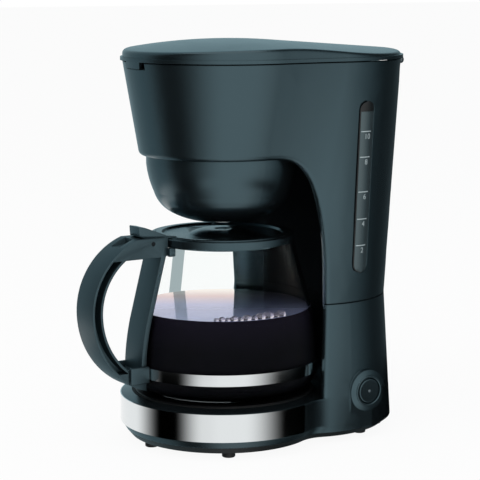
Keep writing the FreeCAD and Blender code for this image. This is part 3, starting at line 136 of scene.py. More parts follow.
away = addNode(tree, "VectorMath", {"operation": "LENGTH"}, {0: across.outputs[0]})
# painted shade in the bay: the skin within the ellipse's reach of the carafe's axis, high up and on the back
# wall above the deck, loses its gloss
climb = addNode(tree, "MapRange", fromTo(bayShadeLook["arch"]), {0: height})
square = addNode(tree, "Math", {"operation": "MULTIPLY"}, {0: climb.outputs[0], 1: climb.outputs[0]})
rest = addNode(tree, "Math", {"operation": "SUBTRACT", 0: 1}, {1: square.outputs[0]})
root = addNode(tree, "Math", {"operation": "SQRT"}, {0: rest.outputs[0]})
ellipse = {"operation": "MULTIPLY_ADD", 1: bayShadeLook["reach"] * mm, 2: bayShadeLook["crown"] * mm}
skin = addNode(tree, "Math", ellipse, {0: root.outputs[0]})
beyond = addNode(tree, "Math", {"operation": "SUBTRACT"}, {0: away.outputs["Value"], 1: skin.outputs[0]})
within = addNode(tree, "MapRange", fromTo(bayShadeLook["skin"]) | fade, {0: beyond.outputs[0]})
above = addNode(tree, "MapRange", fromTo(bayShadeLook["height"]), {0: height})
below = addNode(tree, "MapRange", fromTo(bayShadeLook["top"]) | fade, {0: height})
sideways = addNode(tree, "Math", {"operation": "ABSOLUTE"}, {0: axes.outputs[0]})
middle = addNode(tree, "MapRange", fromTo(bayShadeLook["middle"]), {0: sideways.outputs[0]})
overDeck = addNode(tree, "MapRange", fromTo(bayShadeLook["deck"]), {0: height})
back = addNode(tree, "Math", {"operation": "MULTIPLY"}, {0: middle.outputs[0], 1: overDeck.outputs[0]})
shaded = addNode(tree, "Math", {"operation": "MAXIMUM"}, {0: above.outputs[0], 1: back.outputs[0]})
band = addNode(tree, "Math", {"operation": "MULTIPLY"}, {0: shaded.outputs[0], 1: below.outputs[0]})
bayShade = addNode(tree, "Math", {"operation": "MULTIPLY"}, {0: within.outputs[0], 1: band.outputs[0]})
# painted shade along the parting line, outside the bay
offSeam = addNode(tree, "Math", {"operation": "SUBTRACT", 1: bayShadeLook["seam"] * mm}, {0: height})
fromSeam = addNode(tree, "Math", {"operation": "ABSOLUTE"}, {0: offSeam.outputs[0]})
seamShade = addNode(tree, "MapRange", fromTo(bayShadeLook["line"]) | fade, {0: fromSeam.outputs[0]})
offBay = addNode(tree, "Math", {"operation": "SUBTRACT", 0: 1}, {1: within.outputs[0]})
seam = addNode(tree, "Math", {"operation": "MULTIPLY"}, {0: seamShade.outputs[0], 1: offBay.outputs[0]})
# painted shade on the rim under the top lid
rim = addNode(tree, "MapRange", fromTo(bayShadeLook["rim"]), {0: height})
shadeJoins = addNode(tree, "Math", {"operation": "MAXIMUM"}, {0: seam.outputs[0], 1: rim.outputs[0]})
paintedShade = addNode(tree, "Math", {"operation": "MAXIMUM"}, {0: bayShade.outputs[0], 1: shadeJoins.outputs[0]})
# painted shade: the specular falls to nothing wherever shade is painted
gloss = addNode(tree, "MapRange", {3: bayShadeLook["gloss"][0], 4: bayShadeLook["gloss"][1]}, {0: paintedShade.outputs[0]})
tree.links.new(gloss.outputs[0], shader.inputs["Specular IOR Level"])

# Polypropylene, moulded with a satin face: near black, flatter than the housing
blackPp, tree, shader = newMaterial("black satin polypropylene", {"IOR": 1.49})
mottle(tree, shader, "#0c0e0f", "#121516", 40, (0.36, 0.46), 0.8, 0.02)

# Natural polypropylene of the tank and valve: milky grey-white, slightly waxy
milkPp, tree, shader = newMaterial("natural polypropylene", {
    "IOR": 1.49, "Subsurface Weight": 0.15, "Subsurface Scale": 0.004})
mottle(tree, shader, "#b9bbb6", "#c8cac4", 50, (0.38, 0.5), 1.2, 0.03)

# Smoked polycarbonate window: a little paler and glossier than the housing round it
smokePc, tree, shader = newMaterial("smoked polycarbonate", {
    "IOR": 1.58, "Specular IOR Level": 1, "Specular Tint": hexColour("#d4f0f5")})
mottle(tree, shader, "#2c3538", "#353f43", 30, (0.2, 0.28), 1.4, 0.01)

# Clear acrylic lens over the pilot lamp, lamp off
lensAcrylic, tree, shader = newMaterial("clear acrylic", {"IOR": 1.49, "Transmission Weight": 0.3})
mottle(tree, shader, "#68757b", "#727f85", 4, (0.1, 0.14), 0.5, 0.004)

# Stainless steel strip, polished to a mirror with faint lines along the rolling direction
rolledLook = {"colour": "#dfe3e4", "length": 25, "pitch": 0.4, "roughness": (0.05, 0.13)}
rolledSteel, tree, shader = newMaterial("polished stainless steel", {
    "Base Color": hexColour(rolledLook["colour"]), "Metallic": 1})
place = addNode(tree, "TexCoord").outputs["Object"]
along = 1 / (rolledLook["length"] * mm)
across = 1 / (rolledLook["pitch"] * mm)
stretch = addNode(tree, "Mapping", {"Scale": (along, along, across)}, {"Vector": place})
lines = addNode(tree, "TexNoise", {"Scale": 1, "Detail": 3}, {"Vector": stretch.outputs[0]})
polish = addNode(tree, "MapRange", {3: rolledLook["roughness"][0], 4: rolledLook["roughness"][1]},
                 {0: lines.outputs[0]})
tree.links.new(polish.outputs[0], shader.inputs["Roughness"])

# Zinc-plated and drawn steel of pins, screws and springs: dull grey metal with a fine drawn grain
platedSteel, tree, shader = newMaterial("zinc-plated steel", {"Metallic": 1})
mottle(tree, shader, "#8d9092", "#a6a9aa", 6, (0.28, 0.42), 0.5, 0.02)

# Blackened steel of the carafe lid's pin, oiled and a little worn
blackSteel, tree, shader = newMaterial("blackened steel", {"Metallic": 1})
mottle(tree, shader, "#1c2022", "#2b3033", 3, (0.3, 0.45), 0.5, 0.02)

# Aluminium extrusion of the heater, left as extruded
heaterAlloy, tree, shader = newMaterial("extruded aluminium", {"Metallic": 1})
mottle(tree, shader, "#a9abad", "#bcbec0", 10, (0.35, 0.5), 0.6, 0.03)

# Non-stick coat on the hot plate: matt black with a fine orange-peel
coatedPlate, tree, shader = newMaterial("non-stick coated steel", {"IOR": 1.38})
mottle(tree, shader, "#0b0c0d", "#111214", 15, (0.3, 0.42), 0.7, 0.03)

# Nitrile rubber feet and gland: matt black, scuffed a little paler
blackRubber, tree, shader = newMaterial("black nitrile rubber", {"IOR": 1.52})
mottle(tree, shader, "#0e0f10", "#18191a", 8, (0.6, 0.8), 0.6, 0.04)

# Silicone hoses and gasket: cloudy white with a soft waxy gloss
cloudySilicone, tree, shader = newMaterial("cloudy silicone", {
    "IOR": 1.41, "Subsurface Weight": 0.2, "Subsurface Scale": 0.003})
mottle(tree, shader, "#c4c2bb", "#d2d0ca", 12, (0.4, 0.55), 0.8, 0.03)

# Dark silicone of the hot plate's gasket, dusty matt
darkSilicone, tree, shader = newMaterial("dark silicone", {"IOR": 1.41})
mottle(tree, shader, "#0d0f10", "#15181a", 12, (0.5, 0.65), 0.8, 0.03)

# Woven glass-fibre sleeve on the leads: off-white, with a 1 mm weave
sleeveWeave, tree, shader = newMaterial("woven glass-fibre sleeve", {})
mottle(tree, shader, "#b8b4aa", "#d3cfc6", 1.2, (0.7, 0.85), 0.8, 0.1)

finishes = {
    "slate_plastic": slateAbs, "black_plastic": blackPp, "grey_plastic": milkPp, "window_plastic": smokePc,
    "lens_plastic": lensAcrylic, "polished_steel": rolledSteel, "coated_plate": coatedPlate,
    "plain_steel": platedSteel, "heater_alloy": heaterAlloy, "steel_mesh": platedSteel,
    "black_rubber": blackRubber, "silicone": cloudySilicone, "wire_sleeve": sleeveWeave,
}
ownFinishes = {"upper_housing": housingAbsWithShade, "lower_housing": housingAbsWithShade, "brew_bowl": slateAbs,
               "carafe_handle": gripAbs, "carafe_lid_pin": blackSteel, "plate_gasket": darkSilicone}
for part in frame["record"]["subparts"]:
    finish = ownFinishes.get(part["node"], finishes.get(part["material_slot"]))
    if finish:
        nodes[part["node"]].data.materials.clear()
        nodes[part["node"]].data.materials.append(finish)
print("materials on the CAD nodes")


def bareMaterial(name):
    # material with an empty node tree, for the stage
    material = bpy.data.materials.new(name)
    material.use_nodes = True
    material.node_tree.nodes.clear()
    return material, material.node_tree


def hideFrom(piece, ways):
    for way in ways:
        setattr(piece, "visible_" + way, False)


def deselect():
    bpy.ops.object.select_all(action="DESELECT")


# Camera at the photograph's angle
cameraView = {"place": (1.0915, -0.7221, 0.355), "heading": (-0.834, 0.552), "tilt": 8.85, "lens": 129,
              "sensor": 36, "far": 50}
headingX, headingY = cameraView["heading"]
tilt = math.radians(cameraView["tilt"])
look = Vector((headingX * math.cos(tilt), headingY * math.cos(tilt), -math.sin(tilt)))
bpy.ops.object.camera_add(location=cameraView["place"], rotation=look.to_track_quat("-Z", "Y").to_euler())
camera = bpy.context.object
camera.data.lens = cameraView["lens"]
camera.data.sensor_width = cameraView["sensor"]
camera.data.clip_end = cameraView["far"]
scene.camera = camera

# White room: camera, mirror and glass rays see plain white, the rest gets an even soft light
room = {"fill": "#f4f6f8", "level": 0.55}
world = bpy.data.worlds.new("white room")
scene.world = world
world.use_nodes = True
tree = world.node_tree
tree.nodes.clear()
path = addNode(tree, "LightPath").outputs
both = addNode(tree, "Math", {"operation": "MAXIMUM"}, {0: path["Is Glossy Ray"], 1: path["Is Camera Ray"]})
seen = addNode(tree, "Math", {"operation": "MAXIMUM"}, {0: both.outputs[0], 1: path["Is Transmission Ray"]})
soft = addNode(tree, "Background", {"Color": hexColour(room["fill"]), "Strength": room["level"]})
white = addNode(tree, "Background", {"Color": (1, 1, 1, 1), "Strength": 1})
choice = addNode(tree, "MixShader", {}, {0: seen.outputs[0], 1: soft.outputs[0], 2: white.outputs[0]})
addNode(tree, "OutputWorld", {}, {"Surface": choice.outputs[0]})

# Floor: white sheet that keeps the shadow
sheet = {"size": 30, "glow": 0.93, "white": 0.95}
deselect()
bpy.ops.mesh.primitive_plane_add(size=sheet["size"])
floor = bpy.context.object
floor.name = "floor"
floorPaper, tree = bareMaterial("white paper")
path = addNode(tree, "LightPath").outputs
both = addNode(tree, "Math", {"operation": "MAXIMUM"},
               {0: path["Is Transmission Ray"], 1: path["Is Camera Ray"]})
share = addNode(tree, "Math", {"operation": "MULTIPLY", 1: sheet["glow"]}, {0: both.outputs[0]})
paper = addNode(tree, "BsdfDiffuse", {"Color": (sheet["white"], sheet["white"], sheet["white"], 1)})
glow = addNode(tree, "Emission", {"Color": (1, 1, 1, 1), "Strength": 1})
choice = addNode(tree, "MixShader", {}, {0: share.outputs[0], 1: paper.outputs[0], 2: glow.outputs[0]})
addNode(tree, "OutputMaterial", {}, {"Surface": choice.outputs[0]})
floor.data.materials.append(floorPaper)
hideFrom(floor, ["glossy"])

# Drum of graded card seen only in reflections, in metres: brightness by the angle from the camera to the
# right in degrees, for the low part that the steel mirrors and for the rest, which is blue-grey to the sides
# and behind the top, with a darker bottom
wall = {"reach": 0.5, "low": -0.45, "high": 1.3, "bottom": 0.12, "under": 0.8, "steps": 180, "rows": 200,
        "mirrored": [(-9, 1), (-0.155, 1), (-0.135, 0), (-0.04, 0), (-0.015, 1), (9, 1)],
        "back": (138, 162), "backLow": (0.27, 0.31), "backColour": "#a3c2cb",
        "sides": (60, 100), "sideColour": "#d2f2fc",
        "steel": [(-180, 1), (-105, 1), (-68, 0), (-49, 0), (-19.5, 0.92), (-1.5, 1), (20, 1), (68, 0),
                  (180, 0)],
        "rest": [(-180, 0.6), (-118, 0.47), (-94, 0.45), (-66, 0.03), (-53, 0.03), (3, 1), (34, 1),
                 (108, 0.05), (180, 0.15)]}


def ramp(value, span):
    # share of the way through a span, held at its ends
    return min(max((value - span[0]) / (span[1] - span[0]), 0), 1)


def toneAt(tones, place):
    # tone at a place in a list of (place, tone), eased between them
    before, after = [pair for pair in zip(tones, tones[1:]) if pair[0][0] <= place + 1e-3][-1]
    share = (place - before[0]) / (after[0] - before[0])
    return before[1] + (after[1] - before[1]) * share * share * (3 - 2 * share)


toCamera = math.atan2(-headingY, -headingX)
wallPaint, tree = bareMaterial("graded card")
shade = addNode(tree, "Attribute", {"attribute_name": "shade"})
glow = addNode(tree, "Emission", {"Strength": 1}, {"Color": shade.outputs["Color"]})
addNode(tree, "OutputMaterial", {}, {"Surface": glow.outputs[0]})
deselect()
bpy.ops.mesh.primitive_grid_add(x_subdivisions=wall["steps"], y_subdivisions=wall["rows"], size=1)
card = bpy.context.object
card.name = "reflectedWall"
shades = card.data.color_attributes.new("shade", "FLOAT_COLOR", "POINT")
plain = Vector((1, 1, 1))
backColour = Vector(hexColour(wall["backColour"])[:3])
sideColour = Vector(hexColour(wall["sideColour"])[:3])
for vertex in card.data.vertices:
    angle = 360 * vertex.co.x
    climb = vertex.co.y + 0.5 - wall["bottom"]
    height = wall["low"] + max(climb, 0) / (1 - wall["bottom"]) * (wall["high"] - wall["low"])
    reach = wall["reach"] * (1 + min(climb, 0) / wall["bottom"])
    upper = toneAt(wall["mirrored"], height)
    tone = plain.lerp(sideColour, ramp(abs(angle), wall["sides"])) * toneAt(wall["rest"], angle)
    tone = (plain * toneAt(wall["steel"], angle)).lerp(tone, upper) * (wall["under"] if climb < 0 else 1)
    tone = tone.lerp(backColour, ramp(abs(angle), wall["back"]) * ramp(height, wall["backLow"]))
    shades.data[vertex.index].color = [*tone, 1]
    around = toCamera + math.radians(angle)
    vertex.co = (reach * math.cos(around), reach * math.sin(around), height)
card.data.materials.append(wallPaint)
hideFrom(card, ["camera", "diffuse", "transmission", "shadow", "volume_scatter"])

# Grey strip behind the carafe, seen only through the glass, as a studio's window bar is: its ends are
# (sideways, height) in mm
strip = {"behind": 160, "low": (-44, 78), "high": (-33, 190), "width": 10.5, "colour": "#a2afb2"}
stripPaint, tree = bareMaterial("grey card")
glow = addNode(tree, "Emission", {"Color": hexColour(strip["colour"]), "Strength": 1})
addNode(tree, "OutputMaterial", {}, {"Surface": glow.outputs[0]})
deselect()
bpy.ops.mesh.primitive_plane_add(size=1)
bar = bpy.context.object
bar.name = "windowBar"
far = Vector((headingX, headingY, 0)) * strip["behind"] + Vector((0, carafeY, 0))
right = Vector((headingY, -headingX, 0))
for vertex in bar.data.vertices:
    side, height = strip["high"] if vertex.co.y > 0 else strip["low"]
    spot = far + right * (side + strip["width"] * vertex.co.x) + Vector((0, 0, height))
    vertex.co = spot * mm
bar.data.materials.append(stripPaint)
hideFrom(bar, ["camera", "diffuse", "glossy", "shadow", "volume_scatter"])

# One large soft lamp overhead, a little in front
softBox = {"place": (0.5, -0.9, 1.8), "aim": (0, 0, 0.1), "watts": 18, "size": 1.6}
bpy.ops.object.light_add(type="AREA", location=softBox["place"])
lamp = bpy.context.object
lamp.data.energy = softBox["watts"]
lamp.data.size = softBox["size"]
lamp.rotation_euler = (Vector(softBox["aim"]) - lamp.location).to_track_quat("-Z", "Y").to_euler()
hideFrom(lamp, ["glossy"])
print("camera, room and lamp")


def smoothFaces(angle):
    # smooth the active piece, but for edges sharper than the angle
    bpy.ops.object.shade_smooth_by_angle(angle=math.radians(angle))


def joinPieces(pieces, name):
    deselect()
    for piece in pieces:
        piece.select_set(True)
    bpy.context.view_layer.objects.active = pieces[0]
    bpy.ops.object.join()
    joined = bpy.context.object
    joined.name = name
    return joined


def latheRings(name, rings, sides):
    # a ring grown up and down the carafe's axis and closed at both poles; rings are (radius, height) in mm
    deselect()
    radius, height = rings[0]
    bpy.ops.mesh.primitive_circle_add(vertices=sides, radius=radius * mm,
                                      location=(0, carafeY * mm, height * mm))
    piece = bpy.context.object
    piece.name = name
    bpy.ops.object.transform_apply(location=True, rotation=True, scale=True)
    bpy.ops.object.mode_set(mode="EDIT")
    bpy.ops.mesh.select_mode(type="EDGE")
    bpy.ops.mesh.select_all(action="SELECT")
    for nextRadius, nextHeight in rings[1:]:
        bpy.ops.mesh.extrude_edges_move(TRANSFORM_OT_translate={"value": (0, 0, (nextHeight - height) * mm)})
        grow = nextRadius / radius
        bpy.ops.transform.resize(value=(grow, grow, 1), center_override=(0, carafeY * mm, nextHeight * mm))
        radius, height = nextRadius, nextHeight
    bpy.ops.mesh.select_all(action="SELECT")
    bpy.ops.mesh.fill_holes(sides=0)
    bpy.ops.mesh.normals_make_consistent(inside=False)
    bpy.ops.object.mode_set(mode="OBJECT")
    smoothFaces(40)
    return piece


def arcRings(centre, radius, start, stop, steps):
    # points on an arc in the radius-height plane, angles in degrees
    spots = []
    for step in range(steps + 1):
        angle = math.radians(start + (stop - start) * step / steps)
        spots.append((centre[0] + radius * math.cos(angle), centre[1] + radius * math.sin(angle)))
    return spots


# Borosilicate glass, blown thin and fire-polished: clear, bends little, faint reflections and a grey heel
glassLook = {"heel": (43, 46), "grey": "#6a7274", "low": "#fbfefd", "high": "#ffffff", "patch": 40}
blownGlass, tree, shader = newMaterial("blown borosilicate glass", {
    "Roughness": 0, "IOR": 1.06, "Transmission Weight": 1, "Specular Tint": hexColour("#4c5254")})
place = addNode(tree, "TexCoord").outputs["Object"]
cloud = addNode(tree, "TexNoise", {"Scale": 1 / (glassLook["patch"] * mm), "Detail": 2}, {"Vector": place})
blend = addNode(tree, "Mix", between(glassLook["low"], glassLook["high"]), {0: cloud.outputs[0]})
axes = addNode(tree, "SeparateXYZ", {}, {0: place})
heel = addNode(tree, "MapRange", fromTo(glassLook["heel"]), {0: axes.outputs[2]})
tint = addNode(tree, "Mix", {"data_type": "RGBA", 6: hexColour(glassLook["grey"])},
               {0: heel.outputs[0], 7: blend.outputs[2]})
tree.links.new(tint.outputs[2], shader.inputs["Base Color"])

# Carafe glass: a round corner up to the belly, a long sweep to the shoulder, then the neck and a rolled mouth
carafe = {"sides": 128, "pole": 1, "belly": (74, 58), "corner": 18.7, "wall": 2.4, "sweep": 170,
          "shoulder": 103, "neck": [(58, 140.2), (54.6, 153)], "neckInside": [(51.75, 152.4), (55.6, 137.7)],
          "mouth": [(54.3, 153.8), (53.3, 154.5), (51.5, 155), (51.5, 156.5), (51, 157), (49.6, 157),
                    (49.1, 156.5), (49.1, 154.8), (49.8, 153.8)],
          "cornerSteps": 12, "sweepSteps": 10}
bellyR, bellyZ = carafe["belly"]
lean = math.degrees(math.asin((carafe["shoulder"] - bellyZ) / carafe["sweep"]))
corner = (bellyR - carafe["corner"], bellyZ)
sweep = (bellyR - carafe["sweep"], bellyZ)
outside = arcRings(corner, carafe["corner"], -90, 0, carafe["cornerSteps"])
outside += arcRings(sweep, carafe["sweep"], 0, lean, carafe["sweepSteps"])[1:] + carafe["neck"]
inside = list(carafe["neckInside"])
inside += arcRings(sweep, carafe["sweep"] - carafe["wall"], lean, 0, carafe["sweepSteps"])
inside += arcRings(corner, carafe["corner"] - carafe["wall"], 0, -90, carafe["cornerSteps"])[1:]
poles = [(carafe["pole"], end[1]) for end in (outside[0], inside[-1])]
glass = latheRings("carafeGlass", poles[:1] + outside + carafe["mouth"] + inside + poles[1:], carafe["sides"])
glass.data.materials.append(blownGlass)
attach(glass, "carafe")
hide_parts("carafe_glass")

# Brewed coffee: near black, with a painted violet sheen just under its surface, and on top a mirror whose
# tints and haze are painted reflection, warm white at the far side and lilac, hazing towards the front
coffee = {"level": 102.4, "overlap": 0.1, "margin": 1, "inset": 0.4, "middle": 40, "sheenDepth": 24, "cloud": 25,
          "deep": ("#08090a", "#0f0f14"), "sheenViolet": "#15131c", "across": (62, -62), "haze": (0.03, 0.6),
          "film": [(0.22, "#f0d9d6"), (0.5, "#dcdaf2")], "reflectionEnds": ("#fff7f0", "#d9dcf4")}
level = coffee["level"]
brewed, tree, shader = newMaterial("brewed coffee", {
    "Roughness": 0.3, "IOR": 1.34, "Specular IOR Level": 0.02})
place = addNode(tree, "TexCoord").outputs["Object"]
cloud = addNode(tree, "TexNoise", {"Scale": 1 / (coffee["cloud"] * mm), "Detail": 2}, {"Vector": place})
blend = addNode(tree, "Mix", between(*coffee["deep"]), {0: cloud.outputs[0]})
axes = addNode(tree, "SeparateXYZ", {}, {0: place})
# painted sheen: the coffee turns violet towards its surface
shallow = addNode(tree, "MapRange", fromTo((level - coffee["sheenDepth"], level)), {0: axes.outputs[2]})
paintedSheen = addNode(tree, "Mix", {"data_type": "RGBA", 7: hexColour(coffee["sheenViolet"])},
                {0: shallow.outputs[0], 6: blend.outputs[2]})
tree.links.new(paintedSheen.outputs[2], shader.inputs["Base Color"])
# painted reflection: the lilac base and the mirror's tints stand in for what the surface reflects
coffeeTop, tree, shader = newMaterial("coffee surface", {
    "Base Color": hexColour("#8088ac"), "Roughness": 0.4, "IOR": 1.34})
place = addNode(tree, "TexCoord").outputs["Object"]
centred = addNode(tree, "Mapping", {"Location": (0, -carafeY * mm, 0)}, {"Vector": place})
# painted reflection: tints and haze are set by the distance along the camera's heading, warm white and peach
# at the far side, lilac and hazy at the front
away = addNode(tree, "VectorMath", {"operation": "DOT_PRODUCT", 1: (headingX, headingY, 0)},
               {0: centred.outputs[0]})
nearness = addNode(tree, "MapRange", fromTo(coffee["across"]), {0: away.outputs["Value"]})
film = addNode(tree, "ValToRGB", {}, {0: nearness.outputs[0]})
for end, colour in zip(film.color_ramp.elements, coffee["reflectionEnds"]):
    end.color = hexColour(colour)
for spot, colour in coffee["film"]:
    film.color_ramp.elements.new(spot).color = hexColour(colour)
mirror = addNode(tree, "BsdfGlossy", {"Roughness": 0.04}, {"Color": film.outputs[0]})
haze = addNode(tree, "MapRange", {3: coffee["haze"][0], 4: coffee["haze"][1]}, {0: nearness.outputs[0]})
both = addNode(tree, "MixShader", {}, {0: haze.outputs[0], 1: mirror.outputs[0], 2: shader.outputs[0]})
tree.links.new(both.outputs[0], tree.nodes["Material Output"].inputs["Surface"])
wet = coffee["overlap"]
filled = [(r + wet, z - wet) for r, z in reversed(inside) if z < level - coffee["margin"]]
top = [(radius, level) for radius in (filled[-1][0] - coffee["inset"], coffee["middle"], carafe["pole"])]
brew = latheRings("coffee", [(carafe["pole"], filled[0][1])] + filled + top, carafe["sides"])
brew.data.materials.append(brewed)
brew.data.materials.append(coffeeTop)
for face in brew.data.polygons:
    if face.normal.z > 0.5 and face.center.z > (level - 2 * coffee["margin"]) * mm:
        face.material_index = 1
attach(brew, "carafe")
print("carafe glass and coffee")

# Foam: a row of bubbles against the front of the glass, afloat on the coffee, of a clear film with lilac and
# warm-white patches of painted glints
foam = {"from": -5, "to": 49, "wall": 64.8, "radii": [1.9, 2.6, 2.1, 3.1, 2.4, 3.4, 2.7, 3.8, 4.2, 3, 3.6],
        "flat": 0.75, "float": 0.4, "segments": 20, "rings": 12, "cloud": 2}
foamFilm, tree, shader = newMaterial("coffee foam film", {
    "Roughness": 0.02, "IOR": 1.33, "Specular IOR Level": 1, "Transmission Weight": 0.95})
place = addNode(tree, "TexCoord").outputs["Object"]
# painted glints: the film's colour wanders between lilac and warm white
cloud = addNode(tree, "TexNoise", {"Scale": 1 / (foam["cloud"] * mm), "Detail": 2}, {"Vector": place})
blend = addNode(tree, "Mix", between("#cdc6e6", "#fff4e4"), {0: cloud.outputs[0]})
tree.links.new(blend.outputs[2], shader.inputs["Base Color"])
bubbles = []
width = sum(foam["radii"])
passed = 0
for radius in foam["radii"]:
    share = (passed + radius / 2) / width
    passed += radius
    around = toCamera + math.radians(foam["from"] + (foam["to"] - foam["from"]) * share)
    out = foam["wall"] - radius
    height = level + foam["float"] * foam["flat"] * radius
    spot = (out * math.cos(around) * mm, (carafeY + out * math.sin(around)) * mm, height * mm)
    deselect()
    bpy.ops.mesh.primitive_uv_sphere_add(segments=foam["segments"], ring_count=foam["rings"],
                                         radius=radius * mm, location=spot)
    bubble = bpy.context.object
    bubble.scale.z = foam["flat"]
    bpy.ops.object.transform_apply(location=True, rotation=True, scale=True)
    bubbles.append(bubble)
froth = joinPieces(bubbles, "foam")
smoothFaces(50)
froth.data.materials.append(foamFilm)
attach(froth, "carafe")


def cadCopy(name, node):
    # a piece with a copy of a CAD node's mesh, doubles merged and flat faces joined up
    deselect()
    piece = bpy.data.objects.new(name, nodes[node].data.copy())
    scene.collection.objects.link(piece)
    piece.select_set(True)
    bpy.context.view_layer.objects.active = piece
    bpy.ops.object.mode_set(mode="EDIT")
    bpy.ops.mesh.select_all(action="SELECT")
    bpy.ops.mesh.remove_doubles(threshold=0.01 * mm)
    bpy.ops.mesh.dissolve_limited(angle_limit=math.radians(0.5))
    bpy.ops.object.mode_set(mode="OBJECT")
    return piece


def roundEdges(piece, width):
    # moulded edges: every edge that turns by more than 40 degrees is rounded by the width in mm
    edges = piece.modifiers.new("edges", "BEVEL")
    edges.width = width * mm
    edges.segments = 3
    edges.limit_method = "ANGLE"
    edges.angle_limit = math.radians(40)
    bpy.context.view_layer.objects.active = piece
    bpy.ops.object.modifier_apply(modifier="edges")
    smoothFaces(35)


# Handle and carafe lid with their moulded edges rounded, the lid's thumb lever drawn in
rounded = {"carafe_handle": ("handleGrip", "carafe", 0.8), "carafe_lid": ("carafeCap", "carafe_lid", 0.5)}
lever = {"from": -88, "kept": 0.46}
for node, (name, body, width) in rounded.items():
    piece = cadCopy(name, node)
    if node == "carafe_lid":
        for vertex in piece.data.vertices:
            vertex.co.y += min(vertex.co.y - lever["from"] * mm, 0) * (lever["kept"] - 1)
    roundEdges(piece, width)
    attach(piece, body)
    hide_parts(node)

# Springs in the housing, copied from the CAD nodes and smoothed in place; the table gives each a fixed end in
# mm along an axis, from which the spring's ends are found but not used, and the piece it pushes on, which is
# not used either
springs = {"valve_spring": ("valveSpring", "drip_valve", 2, 188),
           "button_spring": ("buttonSpring", "power_button", 0, 66)}
for node, (name, body, axis, fixed) in springs.items():
    piece = cadCopy(name, node)
    start = sum((vertex.co for vertex in piece.data.vertices), Vector()) / len(piece.data.vertices)
    end = start.copy()
    start[axis] = fixed * mm
    places = [vertex.co[axis] for vertex in piece.data.vertices]
    end[axis] = max(places, key=lambda place: abs(place - start[axis]))
    smoothFaces(40)
    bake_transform(piece)
    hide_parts(node)


def roundedBlock(name, low, high, width):
    # block between two corners in mm, its edges rounded
    deselect()
    middle = (Vector(low) + Vector(high)) / 2 * mm
    bpy.ops.mesh.primitive_cube_add(size=1, location=middle)
    piece = bpy.context.object
    piece.name = name
    piece.scale = (Vector(high) - Vector(low)) * mm
    bpy.ops.object.transform_apply(location=True, rotation=True, scale=True)
    roundEdges(piece, width)
    return piece


# Covers over the strap's ears and hooks under the collar, on both sides, all moulded with the handle
covers = {"cover": {"x": (12.4, 15.3), "y": (-106, -89.8), "z": (53, 66), "round": 1.1},
          "hook": {"x": (11.5, 15.8), "y": (-72.5, -67), "z": (146.6, 153.2), "round": 0.8}}
blocks = []
for side in (-1, 1):
    for name, cover in covers.items():
        low, high = zip(sorted(side * x for x in cover["x"]), cover["y"], cover["z"])
        blocks.append(roundedBlock(name, low, high, cover["round"]))
clasps = joinPieces(blocks, "handleClasps")
clasps.data.materials.append(gripAbs)
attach(clasps, "carafe")
print("foam, handle and lid")

# Water gauge: a tube's face in the slot, outlined by a black sheet of painted shadow, its top left open over
# a black floor of painted shade, with a scale printed on it; the column flares evenly from the seam upwards
gauge = {"columnY": 56.15, "seam": (67, 107), "flare": 11 / 182.7, "middleY": 64.2, "half": 6.4, "low": 130,
         "top": 252.6, "slotTop": 260.5, "proud": 0.7, "bulge": 1.3, "columns": 14, "rows": 70, "wall": 0.8,
         "tip": 0.001, "seat": 0.6, "sunk": 0.25, "hollowLow": 2, "hollowSunk": 2.1}


def gaugeFace(y, z, lift):
    # point on the tube's face at a place along Y and Z, lifted outwards, all in mm
    radius = gauge["seam"][0] + (z - gauge["seam"][1]) * gauge["flare"]
    across = (y - gauge["middleY"]) / gauge["half"]
    column = math.sqrt(radius ** 2 - (y - gauge["columnY"]) ** 2)
    return Vector((column + gauge["proud"] + gauge["bulge"] * (1 - across ** 2) + lift, y, z)) * mm


def gaugeSheet(name, edge, lift, top, cap, finish):
    # sheet along the gauge, wider than its tube by the edge in mm, round at the bottom and over the cap above
    deselect()
    bpy.ops.mesh.primitive_grid_add(x_subdivisions=gauge["columns"], y_subdivisions=gauge["rows"], size=1)
    piece = bpy.context.object
    piece.name = name
    widest = gauge["half"] + edge
    low = gauge["low"] - edge
    for vertex in piece.data.vertices:
        z = low + (vertex.co.y + 0.5) * (top - low)
        past = max((low + widest - z) / widest, (z - top + cap) / widest, 0)
        half = widest * math.sqrt(max(1 - past ** 2, gauge["tip"]))
        vertex.co = gaugeFace(gauge["middleY"] + 2 * half * vertex.co.x, z, lift)
    shell = piece.modifiers.new("shell", "SOLIDIFY")
    shell.thickness = gauge["wall"] * mm
    shell.offset = -1
    bpy.ops.object.modifier_apply(modifier="shell")
    smoothFaces(40)
    piece.data.materials.append(finish)
    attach(piece, "machine")
    return piece


window = gaugeSheet("gaugeWindow", 0, 0, gauge["top"], 0, smokePc)
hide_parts("gauge_window")
# painted shadow: a black sheet a little wider than the tube, sunk under it, draws a dark line round the
# window
seat = gaugeSheet("gaugeShadowLine", gauge["seat"], -gauge["sunk"], gauge["slotTop"], gauge["half"] + gauge["seat"],
                  blackPp)
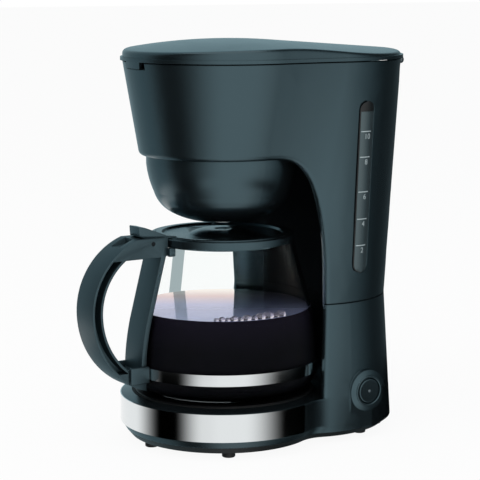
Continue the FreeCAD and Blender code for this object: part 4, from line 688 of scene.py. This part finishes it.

# Painted shade: a black floor sunk in the slot above the tube, where the open slot lies in shade
shadeFloor = cadCopy("gaugeShadeFloor", "gauge_window")
bpy.ops.object.mode_set(mode="EDIT")
bpy.ops.mesh.select_all(action="SELECT")
bpy.ops.mesh.bisect(plane_co=(0, 0, (gauge["top"] - gauge["hollowLow"]) * mm), plane_no=(0, 0, 1),
                    clear_inner=True, use_fill=True)
bpy.ops.mesh.select_all(action="SELECT")
bpy.ops.transform.translate(value=(-gauge["hollowSunk"] * mm, 0, 0))
bpy.ops.object.mode_set(mode="OBJECT")
shadeFloor.data.materials.clear()
shadeFloor.data.materials.append(blackPp)
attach(shadeFloor, "machine")

# Scale ink: screen-printed, off-white and slightly broken
scaleInk, tree, shader = newMaterial("screen-printed ink", {})
mottle(tree, shader, "#9fb0b4", "#c9d4d6", 2, (0.45, 0.6), 0.4, 0.01)

# Scale: a line at each mark's height in mm, with its numeral hung below
marks = {"heights": {"10": 237.7, "8": 218.4, "6": 192, "4": 171.3, "2": 151}, "line": 0.7, "inset": 0.6,
         "length": 9, "lineLift": 0.05, "textSize": 5.67, "shift": 0.3, "drop": 5.6, "textLift": 0.1}
prints = []
for numeral, height in marks["heights"].items():
    deselect()
    bpy.ops.mesh.primitive_grid_add(x_subdivisions=10, y_subdivisions=1, size=1)
    line = bpy.context.object
    for vertex in line.data.vertices:
        y = gauge["middleY"] - gauge["half"] + marks["inset"] + (vertex.co.x + 0.5) * marks["length"]
        vertex.co = gaugeFace(y, height + vertex.co.y * marks["line"], marks["lineLift"])
    prints.append(line)
    deselect()
    bpy.ops.object.text_add()
    word = bpy.context.object
    word.data.body = numeral
    word.data.size = marks["textSize"]
    word.data.align_x = "CENTER"
    bpy.ops.object.convert(target="MESH")
    word = bpy.context.object
    for vertex in word.data.vertices:
        y = gauge["middleY"] - marks["shift"] + vertex.co.x
        vertex.co = gaugeFace(y, height - marks["drop"] + vertex.co.y, marks["textLift"])
    prints.append(word)
scale = joinPieces(prints, "gaugeScale")
scale.data.materials.clear()
scale.data.materials.append(scaleInk)
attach(scale, "machine")
print("water gauge")
